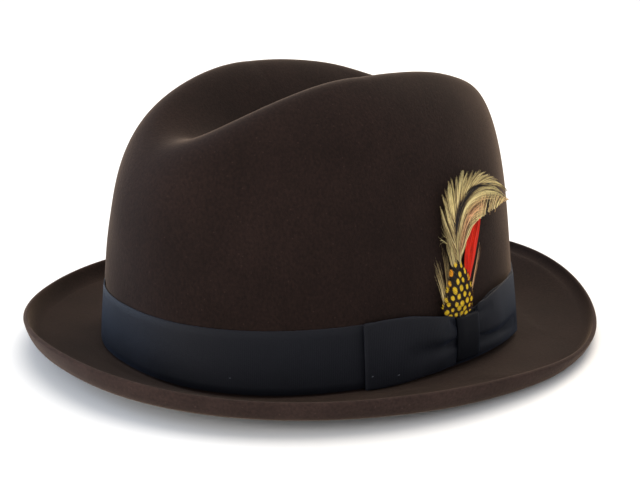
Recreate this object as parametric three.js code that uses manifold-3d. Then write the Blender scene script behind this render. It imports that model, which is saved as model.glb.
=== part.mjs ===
// Brown felt fedora with a ribbon, a flat bow and a feather trim
//
// Millimetres, +Z up. The hat stands on z = 0 with the origin under the middle of its
// bounding box. Its front faces -Y, and the wearer's left, with the bow, is at +X.
//
// Angles round the hat start at the left side and turn towards the back. Heights are
// over the break, the line where the crown meets the brim, unless a name says otherwise.

import * as THREE from "three";
import { mergeVertices } from "three/addons/utils/BufferGeometryUtils.js";
import Module from "manifold-3d";

const wasm = await Module();
wasm.setup();

// Felt body

const FELT = 2; // wall thickness
const HEAD = {
  halfLength: 102,
  halfWidth: 86,
  squareness: 2.27, // 2 would be an ellipse
  backWider: 0.015, // share by which the back is wider than the middle
};
const CROWN = {
  height: 133, // top over the break before the dent is pressed in
  sideTaper: 0.145, // share of the half width lost towards the top
  sideCurve: 0.125, // share lost with the square of the height
  wallPower: 5.4, // upright wall
  topPower: 3, // broad top
  waist: 0.012, // share by which it draws in half way up
  frontDrop: 15, // how much lower the top is towards its front
  backRise: 9, // how much higher it is towards its back
};
const DENT = {
  depth: 42,
  front: -120, // where its open front end would run out
  back: 108.5, // where its back end would run out
  frontFade: 104.5, // length over which it deepens from the front
  backFade: 61,
  halfWidthFront: 32,
  halfWidthMiddle: 47.7,
  halfWidthBack: 42.5,
  offsetFront: 2.1, // its middle line starts a little to the wearer's left
  offsetBack: -4.6, // and ends to the wearer's right
  starts: 0.58, // share of the crown's height where the dent begins
  deepens: 0.36, // share of the height over which it comes in
};
const BREAK_HEIGHT = 1.6; // over the surface: the felt is pressed flat where it rests
const LIP_WIDTH = 6;
const LIP_TURN = 0.8; // share of a quarter turn that the lip's curl makes
const SLOPE_POWER = 1.4; // brim's rise from the break to the crease

// Brim stations, from the middle of the back round to the middle of the front
const BRIM = [
  { place: "back", width: 38.5, crease: 13.5, lip: 4.5 },
  { place: "back quarter", width: 37.5, crease: 2.5, lip: 5 },
  { place: "side", width: 39, crease: 1.6, lip: 9.8 },
  { place: "front quarter", width: 34.5, crease: 5, lip: 9 },
  { place: "front", width: 34.5, crease: 6.6, lip: 11 },
];

// Ribbon and bow

const CLEAR = 0.3; // gap between neighbouring pieces
const BAND = { bottom: 0.8, top: 27.7, thickness: 1 };
const WING_SEAT = CLEAR + BAND.thickness + CLEAR; // lift of a wing's inner face
const WING_CLOTH = 1;
const KNOT = {
  middle: 19.4, // where trim places count from, behind the hat's widest place
  front: -9.2,
  back: 5.6,
  bottom: 3,
  top: 23.2,
  thickness: 1.2,
  bulge: 0.4,
  fold: 0.2, // height in which its foot turns in to the band
};
const PINCH_THICKNESS = 1.7; // wings' folded ends under the knot
const PLEAT_SHARPNESS = 12; // higher makes the wings' middle pleat narrower

// Wing sections: place behind the knot's middle, edges, puff of the cloth, pleat depth
const FRONT_WING = [
  { back: -56.5, bottom: 0.9, top: 28.4, puff: 0.5, pleat: 0 },
  { back: -49, bottom: 0.9, top: 28.9, puff: 1.1, pleat: 0 },
  { back: -39, bottom: 1.2, top: 28.5, puff: 1.4, pleat: 0 },
  { back: -29, bottom: 1.9, top: 27.3, puff: 1.7, pleat: 0.4 },
  { back: -20, bottom: 2.5, top: 25.7, puff: 2, pleat: 1.2 },
  { back: -13, bottom: 2.9, top: 24.2, puff: 1.9, pleat: 1.7 },
  { back: -9.7, bottom: 3.1, top: 23.4, puff: 1.1, pleat: 1.1 },
  { back: -8.9, bottom: 4.9, top: 19.5, puff: 0.7, pleat: 0 },
  { back: -1.2, bottom: 5.1, top: 19.5, puff: 0.7, pleat: 0 },
];
const BACK_WING = [
  { back: -0.9, bottom: 5.1, top: 19.5, puff: 0.7, pleat: 0 },
  { back: 5.3, bottom: 4.9, top: 19.5, puff: 0.7, pleat: 0 },
  { back: 6.1, bottom: 3.5, top: 25.5, puff: 1.1, pleat: 1.1 },
  { back: 12, bottom: 3.4, top: 26.8, puff: 1.8, pleat: 1.6 },
  { back: 20, bottom: 3.3, top: 28.3, puff: 1.7, pleat: 1 },
  { back: 28, bottom: 3, top: 29.4, puff: 1.2, pleat: 0.3 },
  { back: 37, bottom: 2.4, top: 29.9, puff: 0.6, pleat: 0 },
  { back: 45, bottom: 2, top: 30, puff: 0.3, pleat: 0 },
];

// Feather spines: place behind the knot's middle, height and lift off the wall

const BLADE = 0.8; // thickness of a feather's body
const BLADE_EDGE = 0.3; // share of it left at the edges
const GUINEA = [
  { back: -3, up: 20.2, lift: 2.2, width: 2.4 },
  { back: -3.2, up: 24, lift: 2.4, width: 2.2 },
  { back: -4.3, up: 25.9, lift: 3.7, width: 8 },
  { back: -5.3, up: 28.8, lift: 4.2, width: 18.5 },
  { back: -5.9, up: 33, lift: 4.2, width: 20.5 },
  { back: -5.2, up: 37, lift: 4.2, width: 17 },
  { back: -4.8, up: 41, lift: 4.2, width: 13.8 },
  { back: -5, up: 44.5, lift: 4.1, width: 10.5 },
  { back: -5.7, up: 48, lift: 4, width: 4 },
];
const RED = [
  { back: 2.4, up: 20.2, lift: 2.2, width: 2.4 },
  { back: 2, up: 29, lift: 2.2, width: 2.8 },
  { back: 3.3, up: 39, lift: 1.4, width: 3.8 },
  { back: 5.8, up: 45.8, lift: 1.2, width: 6.3 },
  { back: 8.7, up: 51.8, lift: 1.2, width: 7.4 },
  { back: 13, up: 59.2, lift: 1.2, width: 7 },
  { back: 16.4, up: 64.2, lift: 1.4, width: 5 },
  { back: 18.4, up: 69, lift: 1.6, width: 1.2 },
];
const HACKLE_STEM = [
  { back: -6.8, up: 20.2, lift: 2.2, width: 2.4 },
  { back: -6.6, up: 30, lift: 2.5, width: 3 },
  { back: -4.5, up: 40, lift: 2.7, width: 5 },
  { back: -3.8, up: 49, lift: 2.9, width: 9.5 },
  { back: -2.4, up: 58, lift: 3.2, width: 13 },
  { back: 0, up: 68, lift: 3.6, width: 11 },
  { back: 6, up: 77, lift: 4, width: 8 },
  { back: 14, up: 79, lift: 4.4, width: 7 },
  { back: 23, up: 76, lift: 4.8, width: 5 },
];

// Hackle locks: where each leaves the stem, where its tip ends and how wide it is
const HACKLE_LOCKS = [
  { fromBack: -5.5, fromUp: 46.5, tipBack: -14.6, tipUp: 60, lift: 2.8, width: 3 },
  { fromBack: -4.6, fromUp: 52, tipBack: -11.8, tipUp: 76.4, lift: 3.2, width: 4.5 },
  { fromBack: -3.8, fromUp: 60, tipBack: -7, tipUp: 81.4, lift: 3.4, width: 5 },
  { fromBack: -2.5, fromUp: 65, tipBack: -2.4, tipUp: 83.2, lift: 3.7, width: 3.6 },
  { fromBack: -0.8, fromUp: 69, tipBack: 7.4, tipUp: 84.4, lift: 4, width: 5 },
  { fromBack: 3, fromUp: 72, tipBack: 15.4, tipUp: 84, lift: 4.2, width: 4.5 },
  { fromBack: 8, fromUp: 75.5, tipBack: 24.4, tipUp: 82.6, lift: 4.4, width: 4.5 },
  { fromBack: 13, fromUp: 77, tipBack: 32.6, tipUp: 77.6, lift: 4.6, width: 5 },
  { fromBack: 17, fromUp: 76.5, tipBack: 39, tipUp: 71.6, lift: 4.8, width: 4.5 },
  { fromBack: 15, fromUp: 74, tipBack: 43.6, tipUp: 66, lift: 4.8, width: 6 },
  { fromBack: 9, fromUp: 71, tipBack: 33, tipUp: 66.4, lift: 4.6, width: 6 },
  { fromBack: 4, fromUp: 67, tipBack: 24, tipUp: 65.6, lift: 4.4, width: 6 },
  { fromBack: 0, fromUp: 61, tipBack: 15, tipUp: 64, lift: 4.1, width: 5 },
  { fromBack: -6, fromUp: 31, tipBack: -18.5, tipUp: 49, lift: 2.6, width: 2 },
];
const LOCK_BEND = { back: 0.4, up: 0.6 }; // share of its way where a lock's middle lies
const LOCK_ROOT = 0.6; // share of a lock's width where it leaves the stem
const LOCK_TIP = { width: 0.6, lift: 0.6 };

// Mesh resolution

const AROUND = 72;
const CROWN_ROWS = 18;
const SLOPE_STEPS = 4;
const LIP_STEPS = 4;
const WING_STEPS = 8;
const KNOT_STEPS = 4;
const STRIP_STEPS = 2; // sections for each row of a feather's spine

const UP = new THREE.Vector3(0, 0, 1);

function signedPower(value, power) {
  return Math.sign(value) * Math.abs(value) ** power;
}

// Head oval at the break
function headOval(angle) {
  const across = signedPower(Math.cos(angle), 2 / HEAD.squareness);
  const along = signedPower(Math.sin(angle), 2 / HEAD.squareness);
  return new THREE.Vector2(
    HEAD.halfWidth * across * (1 + HEAD.backWider * along),
    HEAD.halfLength * along,
  );
}

// Outward direction of the head oval
function ovalNormal(angle) {
  const step = 0.01;
  const chord = headOval(angle + step).sub(headOval(angle - step));
  return new THREE.Vector2(chord.y, -chord.x).normalize();
}

// A brim column at any angle: the smoothest even wave through its stations
function brimAt(column, angle) {
  const last = BRIM.length - 1;
  const fromBack = angle - Math.PI / 2;
  let value = 0;
  for (let wave = 0; wave <= last; wave += 1) {
    let size = 0;
    BRIM.forEach((station, i) => {
      const share = i % last === 0 ? 0.5 : 1;
      size += share * station[column] * Math.cos((wave * i * Math.PI) / last);
    });
    const scale = (wave % last === 0 ? 1 : 2) / last;
    value += scale * size * Math.cos(wave * fromBack);
  }
  return value;
}

// How far the crown has drawn in at a share of its height
function roundness(share) {
  const shoulder = (1 - share ** CROWN.wallPower) ** (1 / CROWN.topPower);
  return shoulder * (1 - CROWN.waist * Math.sin(Math.PI * share));
}

// Smooth step from 0 to 1
function fade(share) {
  return (1 - Math.cos(Math.PI * THREE.MathUtils.clamp(share, 0, 1))) / 2;
}

function dentDepth(x, y, share) {
  const { lerp, clamp } = THREE.MathUtils;
  const half = (2 * (y - DENT.front)) / (DENT.back - DENT.front);
  const halfWidth = half < 1
    ? lerp(DENT.halfWidthFront, DENT.halfWidthMiddle, half)
    : lerp(DENT.halfWidthMiddle, DENT.halfWidthBack, half - 1);
  const along = fade((y - DENT.front) / DENT.frontFade) * fade((DENT.back - y) / DENT.backFade);
  const offset = lerp(DENT.offsetFront, DENT.offsetBack, clamp(half / 2, 0, 1));
  const across = fade(1 - Math.abs(x - offset) / halfWidth);
  const comesIn = clamp((share - DENT.starts) / DENT.deepens, 0, 1);
  return DENT.depth * along * across * comesIn;
}

// Outer face of the crown at a share of its height and a share of its draw-in
function crownPoint(angle, share, round) {
  const foot = headOval(angle);
  const endness = (foot.y / HEAD.halfLength) ** 2;
  const taper = CROWN.sideTaper * share + CROWN.sideCurve * share ** 2;
  const x = foot.x * (1 - taper) * round;
  const y = foot.y * (1 - taper * (1 - endness)) * round;
  const drop = y < 0 ? CROWN.frontDrop : -CROWN.backRise;
  const height = CROWN.height - drop * (y / HEAD.halfLength) ** 2;
  return new THREE.Vector3(x, y, height * share - dentDepth(x, y, share));
}

// Rows up the crown at even steps along its side profile
function crownRows() {
  const samples = 400;
  const shares = [];
  const lengths = [0];
  for (let i = 0; i <= samples; i += 1) {
    const turn = (i / samples) * (Math.PI / 2);
    const share = Math.sin(turn) ** (2 / CROWN.wallPower);
    const round = Math.cos(turn) ** (2 / CROWN.topPower);
    shares.push({ share, round });
    if (i > 0) {
      const rise = (share - shares[i - 1].share) * CROWN.height;
      const run = (round - shares[i - 1].round) * HEAD.halfWidth;
      lengths.push(lengths[i - 1] + Math.hypot(rise, run));
    }
  }
  const rows = [];
  for (let row = 1; row < CROWN_ROWS; row += 1) {
    const wanted = (lengths[samples] * row) / CROWN_ROWS;
    const next = lengths.findIndex((length) => length >= wanted);
    const t = (wanted - lengths[next - 1]) / (lengths[next] - lengths[next - 1]);
    const share = THREE.MathUtils.lerp(shares[next - 1].share, shares[next].share, t);
    rows.push({ share, round: roundness(share) });
  }
  return rows;
}

// Top face of the brim at a distance out from the break and a height
function brimPoint(angle, out, height) {
  const foot = headOval(angle);
  const normal = ovalNormal(angle);
  return new THREE.Vector3(foot.x + normal.x * out, foot.y + normal.y * out, height);
}

// Brim profile at an angle, from the lip's edge in to the break
function brimProfile(angle) {
  const creaseOut = brimAt("width", angle) - LIP_WIDTH;
  const crease = brimAt("crease", angle);
  const lip = brimAt("lip", angle);
  const profile = [];
  for (let step = LIP_STEPS; step > 0; step -= 1) {
    const turn = ((step / LIP_STEPS) * Math.PI) / 2;
    const reach = Math.sin(turn * LIP_TURN) / Math.sin((LIP_TURN * Math.PI) / 2);
    const out = creaseOut + LIP_WIDTH * reach;
    profile.push(brimPoint(angle, out, crease + lip * (1 - Math.cos(turn))));
  }
  for (let step = SLOPE_STEPS; step >= 0; step -= 1) {
    const share = step / SLOPE_STEPS;
    profile.push(brimPoint(angle, creaseOut * share, crease * share ** SLOPE_POWER));
  }
  return profile;
}

// Felt's outer face as rows of points, from the lip's edge to near the crown's top
function feltRows() {
  const columns = [];
  const rows = crownRows();
  for (let i = 0; i < AROUND; i += 1) {
    const angle = (i / AROUND) * 2 * Math.PI;
    const crown = rows.map(({ share, round }) => crownPoint(angle, share, round));
    columns.push([...brimProfile(angle), ...crown]);
  }
  return columns[0].map((_, row) => columns.map((column) => column[row]));
}

// Outward normals of a grid of points that closes round its rows
function gridNormals(rows, apex) {
  return rows.map((row, r) => row.map((_, i) => {
    const before = row[(i + row.length - 1) % row.length];
    const after = row[(i + 1) % row.length];
    const below = rows[Math.max(r - 1, 0)][i];
    const above = r + 1 < rows.length ? rows[r + 1][i] : apex;
    const around = after.clone().sub(before);
    return around.cross(above.clone().sub(below)).normalize();
  }));
}

function geometryFrom(points, triangles) {
  const geometry = new THREE.BufferGeometry();
  const places = points.flatMap((point) => [point.x, point.y, point.z]);
  geometry.setAttribute("position", new THREE.Float32BufferAttribute(places, 3));
  geometry.setIndex(triangles.flat());
  return geometry;
}

// Two triangles for each cell between two closed rings
function bridge(lower, upper, count) {
  const triangles = [];
  for (let i = 0; i < count; i += 1) {
    const j = (i + 1) % count;
    triangles.push([lower + i, lower + j, upper + j]);
    triangles.push([lower + i, upper + j, upper + i]);
  }
  return triangles;
}

// Hollow felt hood: an outer skin and an inner skin that meet at the lip's edge
function feltGeometry() {
  const outer = feltRows();
  const top = crownPoint(0, 1, 0);
  const normals = gridNormals(outer, top);
  const inner = outer.map((row, r) => row.map((point, i) => (
    point.clone().addScaledVector(normals[r][i], -FELT)
  )));
  inner.flat().forEach((point) => {
    point.z = Math.max(point.z, -BREAK_HEIGHT);
  });
  const rings = [...inner.slice().reverse(), ...outer];
  const points = [...rings.flat(), top.clone().addScaledVector(UP, -FELT), top];
  const innerTop = points.length - 2;
  const outerTop = points.length - 1;
  const lastRing = (rings.length - 1) * AROUND;
  const triangles = [];
  for (let ring = 1; ring < rings.length; ring += 1) {
    triangles.push(...bridge((ring - 1) * AROUND, ring * AROUND, AROUND));
  }
  for (let i = 0; i < AROUND; i += 1) {
    const j = (i + 1) % AROUND;
    triangles.push([innerTop, j, i]);
    triangles.push([lastRing + i, lastRing + j, outerTop]);
  }
  return geometryFrom(points, triangles);
}

// Point off the crown's left wall: behind the knot's middle, up the wall and off it
function trimPoint(back, up, lift) {
  const share = up / CROWN.height;
  const round = roundness(share);
  const along = (KNOT.middle + back) / (round * HEAD.halfLength);
  const angle = Math.asin(signedPower(along, HEAD.squareness / 2));
  const wall = crownPoint(angle, share, round);
  const normal = ovalNormal(angle);
  wall.z = up;
  return wall.add(new THREE.Vector3(normal.x * lift, normal.y * lift, 0));
}

// Solid lofted through closed sections that all have the same number of points
function loftGeometry(sections) {
  const count = sections[0].length;
  const triangles = [];
  for (let s = 1; s < sections.length; s += 1) {
    triangles.push(...bridge((s - 1) * count, s * count, count));
  }
  const end = (sections.length - 1) * count;
  for (let i = 0; i < count / 2 - 1; i += 1) {
    const j = count - 1 - i;
    triangles.push([i, j, i + 1], [j, j - 1, i + 1]);
    triangles.push([end + i, end + i + 1, end + j], [end + j, end + i + 1, end + j - 1]);
  }
  return geometryFrom(sections.flat(), triangles);
}

// Ribbon round the foot of the crown, following its wall
function bandGeometry() {
  const corners = [
    { up: BAND.bottom, lift: CLEAR },
    { up: BAND.bottom, lift: CLEAR + BAND.thickness },
    { up: BAND.top, lift: CLEAR + BAND.thickness },
    { up: BAND.top, lift: CLEAR },
  ];
  const rings = corners.map(({ up, lift }) => {
    const share = up / CROWN.height;
    const ring = [];
    for (let i = 0; i < AROUND; i += 1) {
      const angle = (i / AROUND) * 2 * Math.PI;
      const normal = ovalNormal(angle);
      const point = crownPoint(angle, share, roundness(share));
      point.z = up;
      ring.push(point.add(new THREE.Vector3(normal.x * lift, normal.y * lift, 0)));
    }
    return ring;
  });
  const triangles = corners.flatMap((_, c) => (
    bridge(c * AROUND, ((c + 1) % corners.length) * AROUND, AROUND)
  ));
  return geometryFrom(rings.flat(), triangles);
}

// Bow wing: flat against the band, puffed outwards and pleated towards the knot
function wingGeometry(stations) {
  const sections = stations.map((station) => {
    const outer = [];
    const inner = [];
    for (let step = 0; step <= WING_STEPS; step += 1) {
      const t = step / WING_STEPS;
      const up = THREE.MathUtils.lerp(station.bottom, station.top, t);
      const puff = station.puff * Math.sqrt(Math.sin(Math.PI * t));
      const pleat = station.pleat * Math.cos(Math.PI * (t - 0.5)) ** PLEAT_SHARPNESS;
      const lift = WING_SEAT + WING_CLOTH + puff - pleat;
      outer.push(trimPoint(station.back, up, lift));
      inner.push(trimPoint(station.back, up, WING_SEAT));
    }
    return [...inner, ...outer.reverse()];
  });
  return loftGeometry(sections);
}

// Knot: a short ribbon laid over the wings' ends, its foot turned in to the band
function knotGeometry() {
  const seat = WING_SEAT + PINCH_THICKNESS + CLEAR;
  const face = seat + KNOT.thickness;
  const foot = KNOT.bottom + KNOT.thickness;
  const loop = [
    { up: foot, lift: WING_SEAT },
    { up: foot + KNOT.fold, lift: seat },
    { up: KNOT.top, lift: seat },
    { up: KNOT.top, lift: face },
    { up: (KNOT.top + foot) / 2, lift: face + KNOT.bulge },
    { up: foot, lift: face },
    { up: KNOT.bottom, lift: seat },
    { up: KNOT.bottom, lift: WING_SEAT },
  ];
  const sections = [];
  for (let s = 0; s <= KNOT_STEPS; s += 1) {
    const back = THREE.MathUtils.lerp(KNOT.front, KNOT.back, s / KNOT_STEPS);
    sections.push(loop.map(({ up, lift }) => trimPoint(back, up, lift)));
  }
  return loftGeometry(sections);
}

// Flat tapered strip along a spine of trim places, with a lens for its section
function stripGeometry(spine) {
  const pieces = (spine.length - 1) * STRIP_STEPS;
  const path = new THREE.CatmullRomCurve3(
    spine.map(({ back, up, lift }) => new THREE.Vector3(back, up, lift)),
  );
  const sections = [];
  for (let s = 0; s <= pieces; s += 1) {
    const t = s / pieces;
    const middle = path.getPoint(t);
    const heading = path.getTangent(t);
    const side = new THREE.Vector2(heading.y, -heading.x).normalize();
    const row = Math.min(Math.floor(t * (spine.length - 1)), spine.length - 2);
    const rest = t * (spine.length - 1) - row;
    const width = THREE.MathUtils.lerp(spine[row].width, spine[row + 1].width, rest);
    const place = (across, lift) => trimPoint(
      middle.x + side.x * across * width,
      middle.y + side.y * across * width,
      middle.z + lift * BLADE,
    );
    const edge = BLADE_EDGE / 2;
    sections.push([
      place(-0.5, -edge),
      place(0, -0.5),
      place(0.5, -edge),
      place(0.5, edge),
      place(0, 0.5),
      place(-0.5, edge),
    ]);
  }
  return loftGeometry(sections.reverse());
}

function solidFrom(geometry) {
  const merged = mergeVertices(geometry);
  return new wasm.Manifold(new wasm.Mesh({
    numProp: 3,
    vertProperties: new Float32Array(merged.attributes.position.array),
    triVerts: new Uint32Array(merged.index.array),
  }));
}

function geometryOf(solid) {
  const mesh = solid.getMesh();
  const geometry = new THREE.BufferGeometry();
  geometry.setAttribute("position", new THREE.BufferAttribute(mesh.vertProperties, 3));
  geometry.setIndex(new THREE.BufferAttribute(mesh.triVerts, 1));
  return geometry;
}

// Hackle feather: a stem with its locks of barbs fused on
function hackleGeometry() {
  let feather = solidFrom(stripGeometry(HACKLE_STEM));
  HACKLE_LOCKS.forEach(({ fromBack, fromUp, tipBack, tipUp, lift, width }) => {
    const bend = {
      back: THREE.MathUtils.lerp(fromBack, tipBack, LOCK_BEND.back),
      up: THREE.MathUtils.lerp(fromUp, tipUp, LOCK_BEND.up),
    };
    const spine = [
      { back: fromBack, up: fromUp, lift, width: width * LOCK_ROOT },
      { ...bend, lift, width },
      { back: tipBack, up: tipUp, lift: lift + LOCK_TIP.lift, width: LOCK_TIP.width },
    ];
    feather = feather.add(solidFrom(stripGeometry(spine)));
  });
  return geometryOf(feather);
}

const felt = new THREE.MeshStandardMaterial({ color: 0x3a2a24, roughness: 0.95 });
const grosgrain = new THREE.MeshStandardMaterial({ color: 0x16171d, roughness: 0.7 });
const spotted = new THREE.MeshStandardMaterial({ color: 0xb8901c, roughness: 0.6 });
const scarlet = new THREE.MeshStandardMaterial({ color: 0xab2414, roughness: 0.6 });
const cream = new THREE.MeshStandardMaterial({ color: 0x9a8758, roughness: 0.6 });

const hat = new THREE.Group();

function addPiece(name, geometry, material) {
  geometry.computeVertexNormals();
  const mesh = new THREE.Mesh(geometry, material);
  mesh.name = name;
  hat.add(mesh);
}

addPiece("felt_body", feltGeometry(), felt);
addPiece("ribbon_band", bandGeometry(), grosgrain);
addPiece("bow_front_wing", wingGeometry(FRONT_WING), grosgrain);
addPiece("bow_back_wing", wingGeometry(BACK_WING), grosgrain);
addPiece("bow_knot", knotGeometry(), grosgrain);
addPiece("guinea_feather", stripGeometry(GUINEA), spotted);
addPiece("red_feather", stripGeometry(RED), scarlet);
addPiece("hackle_feather", hackleGeometry(), cream);

// Stand the hat on z = 0, centred on its own bounding box
const box = new THREE.Box3().setFromObject(hat);
const middle = box.getCenter(new THREE.Vector3());
hat.position.set(-middle.x, -middle.y, -box.min.z);

export default hat;
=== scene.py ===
"""Looks of a felt fedora: fine felt, grosgrain ribbon and bow, and feathers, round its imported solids.

Shapes are worked out in metres about the middle of the break, the line where the crown
meets the brim, and to_frame() then stands them on the frame. The hat's front faces -Y, and
the wearer's left, with the bow, is at +X. Angles start at the left side and turn to the back.
"""

import math

import bmesh
import bpy
import numpy as np
from bpy.props import FloatProperty, FloatVectorProperty, IntProperty, PointerProperty
from mathutils import Matrix, Vector


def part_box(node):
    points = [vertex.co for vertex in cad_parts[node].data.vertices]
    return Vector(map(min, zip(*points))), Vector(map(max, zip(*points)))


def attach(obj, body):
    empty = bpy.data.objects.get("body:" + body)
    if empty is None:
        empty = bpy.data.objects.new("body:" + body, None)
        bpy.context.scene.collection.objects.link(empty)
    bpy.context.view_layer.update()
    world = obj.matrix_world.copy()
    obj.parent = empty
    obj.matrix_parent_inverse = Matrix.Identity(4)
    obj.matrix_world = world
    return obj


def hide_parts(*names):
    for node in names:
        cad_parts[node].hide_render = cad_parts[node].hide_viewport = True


bl_info = {
    "name": "Felt fedora",
    "version": (1, 0, 0),
    "blender": (4, 5, 0),
    "location": "3D View > Sidebar > Fedora",
    "description": "Felt, ribbon, bow and feathers of a fedora",
    "category": "Add Mesh",
}

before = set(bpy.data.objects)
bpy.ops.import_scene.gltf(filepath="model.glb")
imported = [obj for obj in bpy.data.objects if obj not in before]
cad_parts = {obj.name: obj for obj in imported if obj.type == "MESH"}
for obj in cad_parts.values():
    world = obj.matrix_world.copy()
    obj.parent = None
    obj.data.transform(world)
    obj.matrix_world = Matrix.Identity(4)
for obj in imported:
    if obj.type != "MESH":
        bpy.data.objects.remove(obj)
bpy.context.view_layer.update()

BODY = "root"
MM = 0.001

# Felt body

CROWN_HEIGHT = 133 * MM  # top of the crown over the break, before the dent
HALF_LENGTH = 102 * MM
HALF_WIDTH = 86 * MM
SQUARENESS = 2.27  # 2 would be an ellipse
BACK_WIDER = 0.015  # share by which the back is wider than the middle
SIDE_TAPER = 0.145  # share of the half width lost towards the crown's top
SIDE_CURVE = 0.125  # share lost with the square of the height
WALL_POWER = 5.4  # upright wall
TOP_POWER = 3  # broad top
WAIST = 0.012  # share by which the crown draws in half way up
FRONT_DROP = 15 * MM  # how much lower the top is towards its front
BACK_RISE = 9 * MM
DENT_FRONT = -120 * MM  # where the dent's open front end would run out
DENT_BACK = 108.5 * MM
DENT_FRONT_FADE = 104.5 * MM  # length over which the dent deepens from its front end
DENT_BACK_FADE = 61 * MM
DENT_HALF_WIDTHS = (32 * MM, 47.7 * MM, 42.5 * MM)  # front, middle and back
DENT_OFFSETS = (2.1 * MM, -4.6 * MM)  # its middle line's start and end, to the wearer's left
DENT_STARTS = 0.58  # share of the crown's height where the dent begins
DENT_DEEPENS = 0.36  # share of the height over which it comes in
BREAK_HEIGHT = 1.6 * MM  # the break over the surface that the hat stands on
LIP_WIDTH = 6 * MM
LIP_TURN = 0.8  # share of a quarter turn that the lip's curl makes
SLOPE_POWER = 1.4  # the brim rises slowly at first
LIP_PAINTED_LIGHT_FADES = (4, 3)  # rows over which the lip's painted light fades in below and out at its edge
LIP_SET_BACK = 0.35  # share of the felt's thickness that its rounded edge takes up
EDGE_ROUND = 0.7  # how far the rounded edge stands out for half its thickness
FELT_SWELL = 1 * MM  # how far the felt stands out over the band on the wearer's right

# Brim stations, from the middle of the back round to the middle of the front
BRIM = {
    "width": (38.5 * MM, 37.5 * MM, 39 * MM, 34.5 * MM, 34.5 * MM),
    "crease": (13.5 * MM, 2.5 * MM, 1.6 * MM, 5 * MM, 6.6 * MM),
    "lip": (4.5 * MM, 5 * MM, 9.8 * MM, 9 * MM, 11 * MM),
}

# Ribbon and bow

CLEAR = 0.3 * MM  # gap between neighbouring pieces
BAND_BOTTOM = 0.8 * MM
BAND_TOP = 27.7 * MM
BAND_THICKNESS = 1 * MM  # the band's solid, which the bow clears
BAND_FACE = 0.6 * MM  # how thick it looks, drawn tight on the crown
BAND_EDGE = 0.35 * MM  # thickness left at its top edge
BAND_DIP = 4.5 * MM  # how far the bow draws its top edge down
DIP_MIDDLE = -4 * MM  # the dip's place, ahead of the knot's middle
DIP_REACH = 22 * MM  # how far either way the dip goes
BAND_ROUND = 0.4 * MM  # how far the rounding of its edges reaches
WING_SEAT = CLEAR + BAND_THICKNESS + CLEAR
WING_ROWS = 36
FOLD_BULGE = 0.9 * MM  # how far the fold at a wing's end bulges out
LEAN_REACH = 14 * MM  # how far from the knot the wings lean with it
FOLD_COLUMNS = 8  # columns that take the ribbon round the fold at the wing's end
PUFF_ROUND = 0.35  # power of the puff's arch: under 1, it is flat with round edges
UNDER_TUCK = 1.4 * MM  # how far the under layer's top edge stays below the face's
TUCK_FADE = 10 * MM  # length over which it comes up to the fold at the wing's end
PINCH_THICKNESS = 1.7 * MM  # both wings where the knot holds them
KNOT_MIDDLE = 19.4 * MM  # where trim places count from, behind the hat's widest place
KNOT_FRONT = -9.2 * MM
KNOT_BACK = 5.6 * MM
KNOT_BOTTOM = 3 * MM
KNOT_TOP = 23.2 * MM
KNOT_LEAN = 0.09  # how far the knot's top leans back for its height
KNOT_PAINTED_SHADE = 0.52  # painted shade: the knot's ribbon, whose ribs lie level, is a darker copy of the grosgrain
KNOT_CLOTH = 1.2 * MM  # thickness of the ribbon that is folded into the knot
KNOT_ROWS = 24
KNOT_WAY = 36.4 * MM  # way along the knot's ribbon, over its face and round both ends

# Wing sections, in millimetres: trim place, edges and puff of the cloth
FRONT_WING = (
    (-56.5, 0.9, 28.3, 0.5),
    (-49, 0.9, 28.9, 1),
    (-39, 1.2, 28.5, 1.3),
    (-29, 1.9, 27.3, 2),
    (-20, 2.5, 25.7, 2.8),
    (-13, 2.9, 24.2, 1.6),
    (-9.8, 3.1, 23.4, 0.9),
    (-9.2, 4.5, 20.6, 0.9),
    (-8.4, 4.9, 20, 0.7),
    (-1.2, 5.1, 19.5, 0.5),
)
BACK_WING = (
    (45, 2, 30, 0.3),
    (37, 2.4, 29.9, 0.7),
    (28, 3, 29.4, 1.5),
    (20, 3.3, 28.3, 2.3),
    (12, 3.4, 26.8, 2.1),
    (6.2, 3.5, 25.6, 1.1),
    (5.6, 4.5, 21, 0.9),
    (4.8, 4.9, 20, 0.7),
    (-0.9, 5.1, 19.5, 0.5),
)

# Thread tacks that hold the ribbon down, in millimetres: trim place and height
TACKS = {
    "grosgrain_band": ((-104.8, 9.1),),
    "bow_front_loop": ((-55.2, 7), (-43.2, 5.5)),
}
TACK_COLOUR = (0.05, 0.055, 0.07)

# Pleats pressed into a wing, in millimetres: from (back, up) to (back, up), depth and half
# width at each end
FRONT_PLEATS = (
    ((-42, 12.2), (-9, 12), (0.3, 2.6), (5.4, 1.6)),
    ((-15, 22.4), (-9, 20.4), (0, 1.6), (1.8, 1.7)),
)
BACK_PLEATS = (
    ((46, 8.2), (5.4, 10), (1.1, 2.6), (3.2, 2)),
    ((18, 24), (5.4, 21.6), (0, 1.2), (2.4, 1.6)),
)

# Guinea feather's spine, in millimetres: trim place, height, lift, reach forward and back
GUINEA = (
    (-4, 22.6, 2.7, 7, 5.4),
    (-4.2, 25, 3.4, 10, 6.8),
    (-4.6, 27.4, 4, 11.6, 8),
    (-5, 30, 4.2, 11.4, 9),
    (-5.2, 33, 4.3, 10, 9.2),
    (-5, 37, 4.3, 8, 8.2),
    (-4.8, 41, 4.2, 6.6, 6.7),
    (-5, 44.5, 4.1, 4.9, 5),
    (-5.7, 48.2, 4, 1.5, 1.5),
)
# Guinea spots, in millimetres: heights of the lowest and highest rows, then sizes between
# two heights, as (low, high), (size at low, size at high)
SPOT_LEVELS = (24.2, 49)
SPOT_PITCH = ((25, 38), (3.5, 4.3))
SPOT_ROW_STEP = ((25, 38), (2.6, 3.5))
SPOT_WIDTH = ((25, 36), (1.3, 1.22))
SPOT_HEIGHT = ((25, 36), (1.15, 1.75))
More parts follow.
